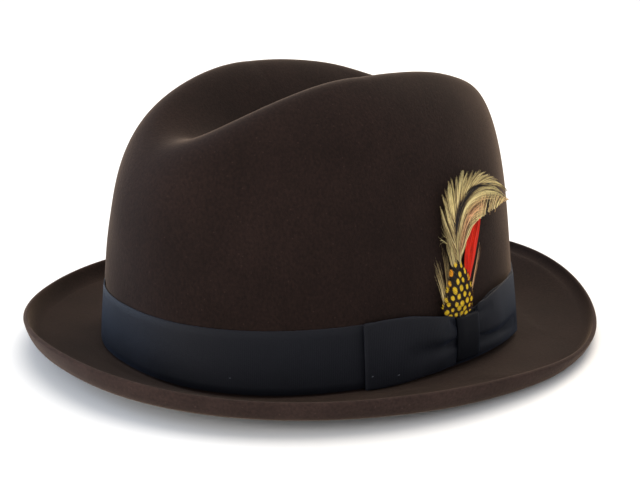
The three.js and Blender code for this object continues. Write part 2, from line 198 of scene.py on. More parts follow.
# Red feather's spine, in millimetres: trim place, height, lift and width
RED = (
    (2, 27, 2.2, 1.6),
    (2.2, 33, 1.8, 2),
    (3.6, 39.4, 1.7, 3.6),
    (5.9, 45.8, 1.7, 6.6),
    (8.7, 51.8, 1.7, 7.8),
    (13, 59.2, 1.8, 7.4),
    (16.4, 64.2, 1.9, 5),
    (18.4, 69, 2, 1.4),
)
# Hackle's stem and its lower edge, in millimetres: trim place, height and lift
HACKLE_STEM = (
    (-6.6, 22, 2.4),
    (-6.3, 30, 2.7),
    (-5.6, 40, 2.9),
    (-5, 50, 3.1),
    (-4.5, 58.5, 3.4),
    (-3.6, 63, 3.5),
    (-2, 67, 3.7),
    (0.4, 70.6, 3.9),
    (3.4, 73.6, 4.1),
    (7.4, 75.8, 4.2),
    (12, 77.1, 4.4),
    (17.5, 77.6, 4.6),
    (23, 77.1, 4.7),
    (29, 75.2, 4.8),
    (35, 71.8, 4.8),
    (40, 68.2, 4.8),
    (43.8, 65.6, 4.8),
)
HACKLE_EDGE = (
    (-4.8, 22, 2.4),
    (-4.4, 30, 2.5),
    (-3.4, 40, 2.6),
    (-2, 47.5, 2.7),
    (0.2, 51, 2.8),
    (2.5, 54.2, 2.9),
    (5.1, 57.9, 3),
    (7.8, 60.7, 3.2),
    (12.2, 62.7, 3.4),
    (17, 63.8, 3.6),
    (22.2, 64.4, 3.8),
    (28, 64.8, 4),
    (34.5, 65.6, 4.2),
    (39.5, 65.6, 4.3),
    (43.8, 65.2, 4.4),
)

CURL_UP = 57  # height on the stem, in millimetres, where the dark roots of the curl begin
DARK_BARBS = 0.26  # share of a feather's barbs that are much darker
LOOSE_BARBS = 0.12  # share of a lock's barbs that stray from it
FAN_BARBS = 150

# Locks of the hackle, in millimetres: root on the stem, bend and tip as (back, up), how far
# down the stem its roots spread, its width and its shade
LOCKS = (
    ((-5.8, 41), (-8.4, 47), (-9.8, 57), 5, 1.7, 0.7),
    ((-5.5, 45), (-9.4, 51), (-10.8, 62.4), 7, 1.8, 0.82),
    ((-5.1, 51), (-8.6, 56), (-10.4, 65.4), 9, 1.6, 0.72),
    ((-4.6, 59.6), (-8, 68.6), (-10.8, 77.4), 4, 0.9, 0.84),
    ((-4.8, 54), (-10.6, 63), (-13, 72.4), 9, 1.3, 0.96),
    ((-4.4, 60.6), (-8.8, 67), (-9.6, 76), 7, 1.5, 0.84),
    ((-3.8, 63), (-7.2, 71), (-8, 79.6), 5, 0.6, 0.7),
    ((-3.4, 65), (-5.2, 73), (-5.1, 82.4), 9, 2.5, 1),
    ((-1.4, 68.4), (-2.4, 77), (-2.6, 83.4), 4, 0.9, 0.85),
    ((-1.8, 67.6), (-0.6, 76), (1.4, 83.6), 6, 1.2, 0.9),
    ((-1, 68.6), (1.8, 77.8), (7.5, 85.4), 5, 1.6, 0.98),
    ((0.6, 70.8), (4.2, 78.4), (10.8, 84.4), 5, 1.7, 0.92),
    ((3.4, 73.4), (7, 77.6), (14.6, 84.6), 4, 1.1, 0.8),
    ((4.8, 74.4), (9.2, 78.4), (16.8, 83.6), 4, 1, 0.95),
    ((6.5, 75.3), (12.8, 80), (21.4, 83.4), 5, 1.5, 0.78),
    ((9.6, 76.4), (17.3, 81.2), (25, 82.4), 4, 1.2, 0.95),
    ((12, 77), (20, 80.4), (28, 80.6), 4, 1.6, 0.84),
    ((14, 77.4), (24, 79.8), (30.6, 79.2), 4, 1.3, 0.74),
    ((17.5, 77.6), (27.5, 79), (33.9, 76.8), 4, 1.5, 0.72),
    ((19, 77.5), (30.4, 78), (38.8, 72.6), 4, 1.3, 1),
    ((24, 76.9), (35, 75.4), (43.6, 69.4), 4, 1.6, 0.66),
)

# Mesh resolution

AROUND = 300
CROWN_ROWS = 100
SLOPE_ROWS = 20
LIP_ROWS = 12
EDGE_ROWS = 6
INNER_EVERY = 2  # the inner skin keeps one row in so many
COLUMNS_PER_RIB = 4
SPINE_POINTS = 400


def signed_power(value, power):
    """The value's size to a power, with the value's sign."""
    return np.sign(value) * np.abs(value) ** power


def smooth_step(share):
    """Eases from 0 to 1 as the share goes from 0 to 1, and stays there past both ends."""
    return (1 - np.cos(np.pi * np.clip(share, 0, 1))) / 2


def unit(vectors):
    """Vectors made one long."""
    return vectors / np.maximum(np.linalg.norm(vectors, axis=-1, keepdims=True), 1e-12)


def way_to(steps):
    """Way to each point of a path, from the steps between its points."""
    return np.concatenate([[0], np.cumsum(steps)])


def head_oval(angle):
    """Head oval at the break."""
    across = signed_power(np.cos(angle), 2 / SQUARENESS)
    along = signed_power(np.sin(angle), 2 / SQUARENESS)
    x = HALF_WIDTH * across * (1 + BACK_WIDER * along)
    return np.stack([x, HALF_LENGTH * along], axis=-1)


def oval_normal(angle):
    """Outward way, level, at an angle on the head oval."""
    step = 0.01
    chord = head_oval(angle + step) - head_oval(angle - step)
    return unit(np.stack([chord[..., 1], -chord[..., 0]], axis=-1))


def brim_at(column, angle):
    """A brim column at any angle: the smoothest even wave through its stations."""
    stations = BRIM[column]
    last = len(stations) - 1
    value = np.zeros_like(angle)
    for wave in range(last + 1):
        size = sum(
            (0.5 if i % last == 0 else 1) * stations[i] * math.cos(wave * i * math.pi / last)
            for i in range(last + 1)
        )
        scale = (1 if wave % last == 0 else 2) / last
        value = value + scale * size * np.cos(wave * (angle - math.pi / 2))
    return value


def roundness(share):
    """How far the crown has drawn in at a share of its height."""
    shoulder = (1 - share**WALL_POWER) ** (1 / TOP_POWER)
    return shoulder * (1 - WAIST * np.sin(np.pi * share))


def dent_depth(x, y, share, depth):
    """How far the centre dent lowers the crown at a place."""
    half = 2 * (y - DENT_FRONT) / (DENT_BACK - DENT_FRONT)
    half_width = np.interp(half, (0, 1, 2), DENT_HALF_WIDTHS)
    along = smooth_step((y - DENT_FRONT) / DENT_FRONT_FADE)
    along = along * smooth_step((DENT_BACK - y) / DENT_BACK_FADE)
    offset = np.interp(half, (0, 2), DENT_OFFSETS)
    across = smooth_step(1 - np.abs(x - offset) / half_width)
    return depth * along * across * np.clip((share - DENT_STARTS) / DENT_DEEPENS, 0, 1)


def crown_point(angle, share, draw_in, felt):
    """Outer face of the crown at a share of its height and a share of its draw-in."""
    foot = head_oval(angle)
    endness = (foot[..., 1] / HALF_LENGTH) ** 2
    narrowed = SIDE_TAPER * share + SIDE_CURVE * share**2
    x = foot[..., 0] * (1 - narrowed) * draw_in
    y = foot[..., 1] * (1 - narrowed * (1 - endness)) * draw_in
    drop = np.where(y < 0, FRONT_DROP, -BACK_RISE)
    height = felt.crown_height - drop * (y / HALF_LENGTH) ** 2
    z = height * share - dent_depth(x, y, share, felt.dent_depth)
    return np.stack([x, y, z], axis=-1)


def trim_point(back, up, lift, felt):
    """Points off the crown's left wall: behind the knot's middle, up the wall and off it."""
    back, up, lift = np.broadcast_arrays(back, up, lift)
    share = up / felt.crown_height
    draw_in = roundness(share)
    along = (KNOT_MIDDLE + back) / (draw_in * HALF_LENGTH)
    angle = np.arcsin(signed_power(along, SQUARENESS / 2))
    wall = crown_point(angle, share, draw_in, felt)
    normal = oval_normal(angle)
    x = wall[..., 0] + normal[..., 0] * lift
    y = wall[..., 1] + normal[..., 1] * lift
    return np.stack([x, y, up], axis=-1)


def to_frame(points):
    """Moves points from the break's middle to their place on the frame."""
    low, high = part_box("ribbon_band")
    place = ((low[0] + high[0]) / 2, (low[1] + high[1]) / 2, low[2] - BAND_BOTTOM)
    return points + np.array(place)


# Meshes


def link_new(name, data):
    """A new object at the origin, in the scene."""
    obj = bpy.data.objects.new(name, data)
    bpy.context.scene.collection.objects.link(obj)
    return obj


def new_mesh(name, points, edges, faces, values):
    """A mesh that stands on the frame, with a float attribute for each of its values."""
    mesh = bpy.data.meshes.new(name)
    mesh.from_pydata(to_frame(points).tolist(), edges, faces)
    for key, numbers in values.items():
        layer = mesh.attributes.new(key, "FLOAT", "POINT")
        layer.data.foreach_set("value", np.asarray(numbers, np.float32))
    return mesh


def make_solid(name, points, faces, values):
    """A new smooth object whose faces point outwards."""
    mesh = new_mesh(name, points, [], faces, values)
    mesh.shade_smooth()
    form = bmesh.new()
    form.from_mesh(mesh)
    inside_out = form.calc_volume(signed=True) < 0
    form.free()
    if inside_out:
        mesh.flip_normals()
    return link_new(name, mesh)


def ring_faces(rows, count, looped=False):
    """Quads between closed rings of points, and from the last ring to the first if looped."""
    ring = np.arange(count)
    after = (ring + 1) % count
    faces = []
    for row in range(rows if looped else rows - 1):
        lower = row * count
        upper = (row + 1) % rows * count
        quads = np.stack([lower + ring, lower + after, upper + after, upper + ring], axis=1)
        faces += quads.tolist()
    return faces


def grid_normals(grid, closed):
    """Normals of a grid of points; its second axis closes round if closed is true."""
    if closed:
        along = np.roll(grid, -1, axis=1) - np.roll(grid, 1, axis=1)
    else:
        along = np.gradient(grid, axis=1)
    return unit(np.cross(along, np.gradient(grid, axis=0)))


def crown_rows():
    """Rows up the crown at even steps along its side profile: share of height and draw-in."""
    turn = np.linspace(0, math.pi / 2, 2000)
    share = np.sin(turn) ** (2 / WALL_POWER)
    draw_in = np.cos(turn) ** (2 / TOP_POWER)
    steps = np.hypot(np.diff(share) * CROWN_HEIGHT, np.diff(draw_in) * HALF_WIDTH)
    length = way_to(steps)
    wanted = length[-1] * np.arange(1, CROWN_ROWS) / CROWN_ROWS
    shares = np.interp(wanted, length, share)
    return shares, roundness(shares)


def felt_face(felt):
    """Outer face of the felt as rows of points, from the lip's edge to the crown's top."""
    angle = np.arange(AROUND) / AROUND * 2 * math.pi
    foot = head_oval(angle)
    normal = oval_normal(angle)
    crease_out = brim_at("width", angle) - LIP_WIDTH
    crease = brim_at("crease", angle)
    lip = brim_at("lip", angle)
    rows = []
    set_back = felt.thickness * LIP_SET_BACK / LIP_WIDTH
    for step in np.linspace(1 - set_back, 0, LIP_ROWS, endpoint=False):
        turn = step * math.pi / 2
        reach = math.sin(turn * LIP_TURN) / math.sin(LIP_TURN * math.pi / 2)
        out = crease_out + LIP_WIDTH * reach
        height = crease + lip * (1 - math.cos(turn))
        rows.append(np.column_stack([foot + normal * out[:, None], height]))
    for share in np.linspace(1, 0, SLOPE_ROWS + 1):
        out = crease_out * share
        height = crease * share**SLOPE_POWER
        rows.append(np.column_stack([foot + normal * out[:, None], height]))
    for share, draw_in in zip(*crown_rows()):
        rows.append(crown_point(angle, share, draw_in, felt))
    return np.stack(rows)


def hand_shaping(points, felt):
    """Small swells that hand blocking leaves in the felt, and its ease over the ribbon."""
    x, y, z = (points[..., i] / MM for i in range(3))
    # Waves of unlike lengths, in millimetres, so that they never fall into step
    swell = np.sin(x / 17 + 1.3) * np.sin(y / 21 + 0.4) + 0.6 * np.sin(y / 11 + z / 13)
    swell = swell + 0.5 * np.sin(x / 8 - y / 9 + z / 7 + 2)
    swell = swell / (1 + 0.6 + 0.5)
    clear_of_band = np.where(z < 12, np.clip(-z / 2 + 1, 0.35, 1), smooth_step((z - 30) / 16))
    # The swells die away next to the ribbon, and under it there are none
    near_band = (z > 0.5) & (z <= 30)
    swell = swell * felt.unevenness * np.where(near_band, 0, clear_of_band)
    over_band = smooth_step((z - BAND_TOP / MM) / 3) * smooth_step((75 - z) / 40)
    return swell + FELT_SWELL * over_band * smooth_step((-x - 15) / 40)


def felt_mesh(felt):
    """Points and faces of the felt, and how much painted light each point takes: the lip's outside is
    painted paler.
    """
    outer = felt_face(felt)
    normals = grid_normals(outer, True)
    outer = outer + normals * hand_shaping(outer, felt)[..., None]
    normals = grid_normals(outer, True)
    inner = (outer - normals * felt.thickness)[::INNER_EVERY]
    edge_middle = outer[0] - normals[0] * felt.thickness / 2
    away = unit(outer[0] - outer[1])
    edge = []
    for turn in np.linspace(-math.pi / 2, math.pi / 2, EDGE_ROWS + 2)[1:-1]:
        around_edge = normals[0] * math.sin(turn) + away * math.cos(turn) * EDGE_ROUND
        edge.append(edge_middle + around_edge * felt.thickness / 2)
    rings = np.concatenate([inner[::-1], np.stack(edge), outer])
    rings[..., 2] = np.maximum(rings[..., 2], -BREAK_HEIGHT)
    top = crown_point(np.zeros(1), np.ones(1), np.zeros(1), felt)
    inner_top = top - np.array([0, 0, felt.thickness])
    points = np.concatenate([rings.reshape(-1, 3), inner_top, top])
    # Rows from the lip's edge: up the outer face from 0, down the inner skin below 0
    row = np.arange(len(rings)) - len(inner) - len(edge)
    # Painted light: the lip's outside is painted paler, fading in and out over a few rows
    fade_in, fade_out = LIP_PAINTED_LIGHT_FADES
    lip_foot = -EDGE_ROWS - LIP_ROWS / INNER_EVERY - fade_in
    lip_painted_light = np.clip(np.minimum((row - lip_foot) / fade_in, (2 - row) / fade_out), 0, 1)
    lip_painted_light = np.concatenate([np.repeat(lip_painted_light, AROUND), [0, 0]])
    faces = ring_faces(len(rings), AROUND)
    last = (len(rings) - 1) * AROUND
    centre_in = len(points) - 2
    centre_out = len(points) - 1
    for i in range(AROUND):
        j = (i + 1) % AROUND
        faces.append([centre_in, j, i])
        faces.append([last + i, last + j, centre_out])
    return points, faces, {"lip_painted_light": lip_painted_light}


def ribbed_sheet(grid, thickness, run, width):
    """Closed thin ribbon about a grid of points, with rounded edges that have no ribs.

    run is each column's place along the ribbon, and width is the ribbon's own.
    """
    rows, columns = grid.shape[:2]
    normal = grid_normals(grid, False)
    front = grid + normal * thickness / 2
    back = grid - normal * thickness / 2
    first_edge = grid[0] + unit(grid[0] - grid[1]) * thickness / 2
    last_edge = grid[-1] + unit(grid[-1] - grid[-2]) * thickness / 2
    loop = np.concatenate([front, last_edge[None], back[::-1], first_edge[None]])
    count = len(loop)
    points = loop.transpose(1, 0, 2).reshape(-1, 3)
    faces = [face[::-1] for face in ring_faces(columns, count)]
    half = rows + 1
    end = (columns - 1) * count
    for i in range(rows - 1):
        j = i + 1
        back_i = 2 * rows - i
        back_j = 2 * rows - j
        faces.append([i, j, back_j, back_i])
        faces.append([end + i, end + back_i, end + back_j, end + j])
    faces.append([rows - 1, rows, half])
    faces.append([end + rows - 1, end + half, end + rows])
    faces.append([count - 1, 0, count - 2])
    faces.append([end + count - 1, end + count - 2, end])
    rib_share = np.ones(rows)
    rib_share[[0, 1, -2, -1]] = 0
    across = np.linspace(0, width, rows)
    values = {
        "run": np.repeat(run, count),
        "across": np.tile(np.concatenate([across, [width], across[::-1], [0]]), columns),
        "rib_share": np.tile(np.concatenate([rib_share, [0], rib_share[::-1], [0]]), columns),
    }
    return points, faces, values


# Node trees


def add_node(tree, kind, inputs=None, **settings):
    """A node with its settings and inputs; an input is a value or another node's output."""
    node = tree.nodes.new(kind)
    for key, value in settings.items():
        setattr(node, key, value)
    for key, value in (inputs or {}).items():
        if isinstance(value, bpy.types.NodeSocket):
            tree.links.new(value, node.inputs[key])
        else:
            node.inputs[key].default_value = value
    return node


def maths(tree, operation, first, second=0.0, third=0.0):
    given = {0: first, 1: second, 2: third}
    return add_node(tree, "ShaderNodeMath", given, operation=operation).outputs[0]


def new_growth(name, inputs):
    """A Geometry Nodes tree with sockets for its geometry, its own inputs and its material."""
    tree = bpy.data.node_groups.new(name, "GeometryNodeTree")
    for label, kind in {"Geometry": "Geometry", **inputs, "Material": "Material"}.items():
        tree.interface.new_socket(label, in_out="INPUT", socket_type=f"NodeSocket{kind}")
    tree.interface.new_socket("Geometry", in_out="OUTPUT", socket_type="NodeSocketGeometry")
    return tree, tree.nodes.new("NodeGroupInput").outputs


def end_growth(tree, geometry, material):
    """The last nodes of every growth tree."""
    real = add_node(tree, "GeometryNodeRealizeInstances", {"Geometry": geometry})
    smooth = add_node(tree, "GeometryNodeSetShadeSmooth", {"Geometry": real.outputs[0]})
    given = {"Geometry": smooth.outputs[0], "Material": material}
    dressed = add_node(tree, "GeometryNodeSetMaterial", given)
    end = tree.nodes.new("NodeGroupOutput")
    tree.links.new(dressed.outputs[0], end.inputs[0])
    return tree


def named(tree, name, data_type="FLOAT"):
    """A mesh attribute's value in a growth tree."""
    kind = "GeometryNodeInputNamedAttribute"
    return add_node(tree, kind, {"Name": name}, data_type=data_type).outputs["Attribute"]


def rib_growth():
    """Raises grosgrain ribs along the normals, by the cloth's run and its share of ribs."""
    tree, given = new_growth("Grosgrain ribs", {"Rib pitch": "Float", "Rib height": "Float"})
    turns = maths(tree, "DIVIDE", named(tree, "run"), given["Rib pitch"])
    wave = maths(tree, "COSINE", maths(tree, "MULTIPLY", turns, 2 * math.pi))
    height = maths(tree, "MULTIPLY", wave, maths(tree, "MULTIPLY", given["Rib height"], 0.5))
    height = maths(tree, "MULTIPLY", height, named(tree, "rib_share"))
    normal = tree.nodes.new("GeometryNodeInputNormal")
    moved = {0: normal.outputs[0], "Scale": height}
    offset = add_node(tree, "ShaderNodeVectorMath", moved, operation="SCALE")
    moved = {"Geometry": given["Geometry"], "Offset": offset.outputs[0]}
    ribbed = add_node(tree, "GeometryNodeSetPosition", moved)
    return end_growth(tree, ribbed.outputs[0], given["Material"])


def barb_growth():
    """Sweeps a small round section along each barb's line, as wide as its half_width."""
    tree, given = new_growth("Feather barbs", {"Sides": "Int", "Width": "Float"})
    lines = add_node(tree, "GeometryNodeMeshToCurve", {"Mesh": given["Geometry"]})
    circle = {"Resolution": given["Sides"], "Radius": 1.0}
    section = add_node(tree, "GeometryNodeCurvePrimitiveCircle", circle)
    sweep = {
        "Curve": lines.outputs[0],
        "Profile Curve": section.outputs[0],
        "Scale": maths(tree, "MULTIPLY", named(tree, "half_width"), given["Width"]),
        "Fill Caps": True,
    }
    swept = add_node(tree, "GeometryNodeCurveToMesh", sweep)
    return end_growth(tree, swept.outputs[0], given["Material"])


def tack_growth():
    """Puts a short thread tack on each point, laid along the point's way."""
    tree, given = new_growth("Thread tacks", {"Length": "Float", "Thread": "Float"})
    ball = {"Segments": 10, "Rings": 8, "Radius": 0.5}
    bead = add_node(tree, "GeometryNodeMeshUVSphere", ball)
    way = {"Vector": named(tree, "way", "FLOAT_VECTOR")}
    turn = add_node(tree, "FunctionNodeAlignRotationToVector", way, axis="Z")
    sides = {"X": given["Thread"], "Y": given["Thread"], "Z": given["Length"]}
    size = add_node(tree, "ShaderNodeCombineXYZ", sides)
    placed = {
        "Points": given["Geometry"],
        "Instance": bead.outputs[0],
        "Rotation": turn.outputs[0],
        "Scale": size.outputs[0],
    }
    tacks = add_node(tree, "GeometryNodeInstanceOnPoints", placed)
    return end_growth(tree, tacks.outputs[0], given["Material"])


def grow(obj, tree, inputs):
    """Runs a growth tree on an object and keeps the plain mesh that it makes."""
    modifier = obj.modifiers.new(tree.name, "NODES")
    modifier.node_group = tree
    for item in tree.interface.items_tree:
        if item.item_type == "SOCKET" and item.in_out == "INPUT" and item.name in inputs:
            modifier[item.identifier] = inputs[item.name]
    obj.update_tag()
    graph = bpy.context.evaluated_depsgraph_get()
    made = bpy.data.meshes.new_from_object(obj.evaluated_get(graph))
    if not made.polygons:
        raise RuntimeError(f"{tree.name} made nothing on {obj.name}")
    obj.modifiers.remove(modifier)
    old = obj.data
    obj.data = made
    made.name = obj.name
    bpy.data.meshes.remove(old)
    return obj


# Materials


def new_finish(name, colour, roughness, **constants):
    """A principled material and its tree; constants are set on the shader's own sockets."""
    material = bpy.data.materials.new(name)
    material.use_nodes = True
    material.diffuse_color = (*colour[:3], 1)
    tree = material.node_tree
    shader = tree.nodes["Principled BSDF"]
    shader.inputs["Base Color"].default_value = (*colour[:3], 1)
    shader.inputs["Roughness"].default_value = roughness
    for key, value in constants.items():
        shader.inputs[key.replace("_", " ")].default_value = value
    return material, tree, shader


def noise(tree, scale, detail=2.0, stretch=None, roughness=0.5):
    """Noise on Object coordinates, with scale in features a metre; stretch is a scale an axis."""
    place = tree.nodes.new("ShaderNodeTexCoord").outputs["Object"]
    if stretch is not None:
        mapping = add_node(tree, "ShaderNodeMapping", {"Vector": place, "Scale": stretch})
        place = mapping.outputs[0]
    given = {"Vector": place, "Scale": scale, "Detail": detail, "Roughness": roughness}
    return add_node(tree, "ShaderNodeTexNoise", given).outputs["Fac"]


def ramp(tree, factor, stops):
    """Colour ramp from (place, colour) stops."""
    node = add_node(tree, "ShaderNodeValToRGB", {"Fac": factor})
    elements = node.color_ramp.elements
    elements.remove(elements[1])
    elements[0].position = stops[0][0]
    for place, _ in stops[1:]:
        elements.new(place)
    for element, (_, colour) in zip(elements, stops):
        element.color = (*colour[:3], 1)
    return node.outputs["Color"]


def mix(tree, factor, first, second, blend_type="MIX"):
    """Colours mixed by a Mix node, whose colour sockets are 6 and 7 and its colour output 2."""
    given = {0: factor, 6: first, 7: second}
    for socket in (6, 7):
        if not isinstance(given[socket], bpy.types.NodeSocket):
            given[socket] = (*given[socket][:3], 1)
    node = add_node(tree, "ShaderNodeMix", given, data_type="RGBA", blend_type=blend_type)
    return node.outputs[2]


def tint(tree, colour, by):
    """A colour multiplied by another."""
    return mix(tree, 1.0, colour, by, "MULTIPLY")


def attribute(tree, name):
    """A mesh attribute's value in a material."""
    return add_node(tree, "ShaderNodeAttribute", attribute_name=name).outputs["Fac"]


def cloudy_colour(tree, clouds, colour, dark, light):
    """A colour that strays with clouds of noise between two shades of itself."""
    return ramp(tree, clouds, ((0.3, shades(colour, dark)), (0.7, shades(colour, light))))


def shades(colour, factor):
    """A colour made darker or lighter by a factor."""
    return tuple(channel * factor for channel in colour[:3])


def shade_with_noise(tree, shade, scale, amount):
    """A shade that strays both ways by a share of noise."""
    centred = maths(tree, "SUBTRACT", noise(tree, scale, 3), 0.5)
    return maths(tree, "MULTIPLY_ADD", centred, amount, shade)


def raise_surface(tree, shader, height, distance):
    """Bumps the shader's surface by a height from 0 to 1, times a distance in metres."""
    given = {"Height": height, "Distance": distance, "Strength": 1.0}
    bump = add_node(tree, "ShaderNodeBump", given)
    tree.links.new(bump.outputs[0], shader.inputs["Normal"])


def felt_finish(felt):
    """Brushed fur felt: cloudy brown with fine fibres, a few pale hairs and a soft nap."""
    material, tree, shader = new_finish(
        "brushed_felt",
        felt.colour,
        0.92,
        Specular_IOR_Level=0.12,
        Sheen_Weight=felt.nap,
        Sheen_Roughness=0.3,
        Sheen_Tint=(0.68, 0.48, 0.34, 1),
    )
    cloudy = cloudy_colour(tree, noise(tree, 38, 3), felt.colour, 0.82, 1.2)
    fibres = noise(tree, 900, detail=4, stretch=(1, 1, 0.8), roughness=0.65)
    streaks = ramp(tree, fibres, ((0.36, (0.72, 0.72, 0.72)), (0.68, (1.32, 1.28, 1.24))))
    coloured = tint(tree, cloudy, streaks)
    # Pale hairs: the middles of scattered cells
    place = tree.nodes.new("ShaderNodeTexCoord").outputs["Object"]
    given = {"Vector": place, "Scale": 260.0, "Randomness": 1.0}
    cells = add_node(tree, "ShaderNodeTexVoronoi", given)
    hair = maths(tree, "LESS_THAN", cells.outputs["Distance"], 0.09)
    coloured = mix(tree, maths(tree, "MULTIPLY", hair, 0.35), coloured, shades(felt.colour, 3.4))
    # Painted light: the lip's outside is painted paler, standing in for light on it
    lip_painted_light_colour = tint(tree, coloured, (2.2, 2.4, 2.5))
    coloured = mix(tree, attribute(tree, "lip_painted_light"), coloured, lip_painted_light_colour)
    tree.links.new(coloured, shader.inputs["Base Color"])
    nap = maths(tree, "ADD", fibres, maths(tree, "MULTIPLY", noise(tree, 2600, 3), 0.5))
    raise_surface(tree, shader, nap, 0.12 * MM)
    return material


def ribbon_finish(name, ribbon, shade):
    """Black grosgrain with a cool sheen: threads along the cloth over the woven ribs."""
    # A shade under 1 makes a darker copy of the grosgrain, its specular and sheen too: painted shade
    colour = shades(ribbon.colour, shade)
    material, tree, shader = new_finish(
        name,
        colour,
        0.55,
        Specular_IOR_Level=0.14 * shade,
        Sheen_Weight=ribbon.sheen * shade,
        Sheen_Roughness=0.35,
        Sheen_Tint=(0.42, 0.58, 0.95, 1),
    )
    cloudy = cloudy_colour(tree, noise(tree, 30), colour, 0.85, 1.2)
    thread_pitch = ribbon.rib_pitch * 0.45
    turns = maths(tree, "MULTIPLY", attribute(tree, "across"), 2 * math.pi / thread_pitch)
    threads = maths(tree, "SINE", turns)
    turns = maths(tree, "MULTIPLY", attribute(tree, "run"), 2 * math.pi / ribbon.rib_pitch)
    ribs = maths(tree, "COSINE", turns)
    weave = maths(tree, "ADD", ribs, maths(tree, "MULTIPLY", threads, 0.35))
    stops = ((0, (0.93, 0.93, 0.93)), (1, (1.06, 1.06, 1.06)))
    lit = ramp(tree, maths(tree, "MULTIPLY_ADD", weave, 0.35, 0.5), stops)
    tree.links.new(tint(tree, cloudy, lit), shader.inputs["Base Color"])
    slubs = noise(tree, 1800)
    height = maths(tree, "ADD", maths(tree, "MULTIPLY", threads, 0.4), slubs)
    raise_surface(tree, shader, height, 0.05 * MM)
    return material


def feather_finish(name, colour, dye):
    """Soft dyed barbs, coloured by what dye makes of their shade and blush."""
    material, tree, shader = new_finish(
        name, colour, 0.6, Specular_IOR_Level=0.2, Sheen_Weight=0.04, Sheen_Roughness=0.4
    )
    coloured = dye(tree, attribute(tree, "shade"), attribute(tree, "blush"))
    tree.links.new(coloured, shader.inputs["Base Color"])
    raise_surface(tree, shader, noise(tree, 4000), 0.04 * MM)
    return material


def spotted_finish(trim):
    """Dyed guinea feather: round yellow spots on a black-brown ground."""

    def dye(tree, spot, blush):
        stops = (
            (0.04, (0.012, 0.007, 0.004)),
            (0.12, (0.16, 0.06, 0.006)),
            (0.26, shades(trim.spot_colour, 0.85)),
            (0.6, trim.spot_colour),
        )
        coloured = ramp(tree, shade_with_noise(tree, spot, 1500, 0.24), stops)
        warmed = tint(tree, coloured, (1, 0.36, 0.5))
        return mix(tree, blush, coloured, mix(tree, 1.0, warmed, (0.05, 0.006, 0), "ADD"))

    return feather_finish("spotted_feather", trim.spot_colour, dye)


def red_finish(trim):
    """Dyed red feather with darker streaks along its barbs."""

    def dye(tree, shade, blush):
        stops = (
            (0.2, shades(trim.red_colour, 0.35)),
            (0.5, shades(trim.red_colour, 0.8)),
            (0.85, trim.red_colour),
        )
        coloured = ramp(tree, shade_with_noise(tree, shade, 500, 0.3), stops)
        orange = (0.9, 0.16, 0.03)
        return mix(tree, maths(tree, "MULTIPLY", blush, 0.5), coloured, orange)

    return feather_finish("red_feather", trim.red_colour, dye)


def hackle_finish(trim):
    """Cream hackle whose barbs run from near black through brown-grey to cream."""

    def dye(tree, shade, blush):
        stops = (
            (0.12, (0.02, 0.015, 0.014)),
            (0.4, (0.17, 0.115, 0.05)),
            (0.68, (0.54, 0.42, 0.18)),
            (1.0, trim.hackle_colour),
        )
        coloured = ramp(tree, shade_with_noise(tree, shade, 600, 0.2), stops)
        return mix(tree, blush, coloured, tint(tree, coloured, (1.1, 0.62, 0.7)))

    return feather_finish("cream_hackle", trim.hackle_colour, dye)


# Ribbon and bow


def even_angles(count):
    """Angles at even distances round the head oval."""
    fine = np.linspace(0, 2 * math.pi, 20001)
    length = way_to(np.linalg.norm(np.diff(head_oval(fine), axis=0), axis=1))
    return np.interp(length[-1] * np.arange(count) / count, length, fine), length[-1]


def band_mesh(felt, ribbon):
    """Ribbon round the foot of the crown: a closed section swept round the wall."""
    _, around = even_angles(1)
    columns = round(around / ribbon.rib_pitch) * COLUMNS_PER_RIB
    angle, _ = even_angles(columns)
    normal = oval_normal(angle)
    face = CLEAR + BAND_FACE
    levels = np.linspace(BAND_BOTTOM + BAND_ROUND / 2, BAND_TOP - BAND_ROUND / 2, 9)
    # Rows of the section: level, lift off the wall and share of the ribs
    section = [(BAND_BOTTOM, CLEAR, 0), (BAND_BOTTOM, face - BAND_ROUND, 0)]
    section += [(levels[0], face - BAND_ROUND / 4, 0)]
    section += [(up, face, 1) for up in levels[1:-1]]
    section += [(levels[-1], CLEAR + BAND_EDGE, 0)]
    section += [(BAND_TOP, CLEAR + BAND_EDGE / 2, 0), (BAND_TOP, CLEAR, 0)]
    foot = head_oval(angle)
    off = np.abs(foot[:, 1] - KNOT_MIDDLE - DIP_MIDDLE) / DIP_REACH
    dip = BAND_DIP * np.exp(-(off**4)) * (foot[:, 0] > 0)
    rings = []
    for level, lift, _ in section:
        up = level - dip * (level - BAND_BOTTOM) / (BAND_TOP - BAND_BOTTOM)
        share = up / felt.crown_height
        wall = crown_point(angle, share, roundness(share), felt)
        # The face strays from the crown, and the back stays against it
        ease = ribbon.ease * smooth_step(lift / face - 0.4)
        slack = lift + ease * (np.sin(angle * 5 + 0.7) + np.sin(angle * 9 + up / MM / 9)) / 2
        ring = wall + np.column_stack([normal * slack[:, None], np.zeros(columns)])
        ring[:, 2] = up
        rings.append(ring)
    faces = ring_faces(len(section), columns, looped=True)
    run = np.arange(columns) * ribbon.rib_pitch / COLUMNS_PER_RIB
    values = {
        "run": np.tile(run, len(section)),
        "across": np.repeat([row[0] for row in section], columns),
        "rib_share": np.repeat([row[2] for row in section], columns),
    }
    return np.concatenate(rings), faces, values


def pleat_dip(back, up, pleats):
    """How deep the pleats are at a place on a wing."""
    dip = np.zeros_like(back)
    for start, end, depths, widths in pleats:
        share = np.clip((back / MM - start[0]) / (end[0] - start[0]), 0, 1)
        middle = start[1] + (end[1] - start[1]) * share
        depth = depths[0] + (depths[1] - depths[0]) * share
        width = widths[0] + (widths[1] - widths[0]) * share
        reached = smooth_step((back / MM - start[0]) / (end[0] - start[0]) * 4)
        dip += depth * reached * np.exp(-(((up / MM - middle) / width) ** 2)) * MM
    return dip


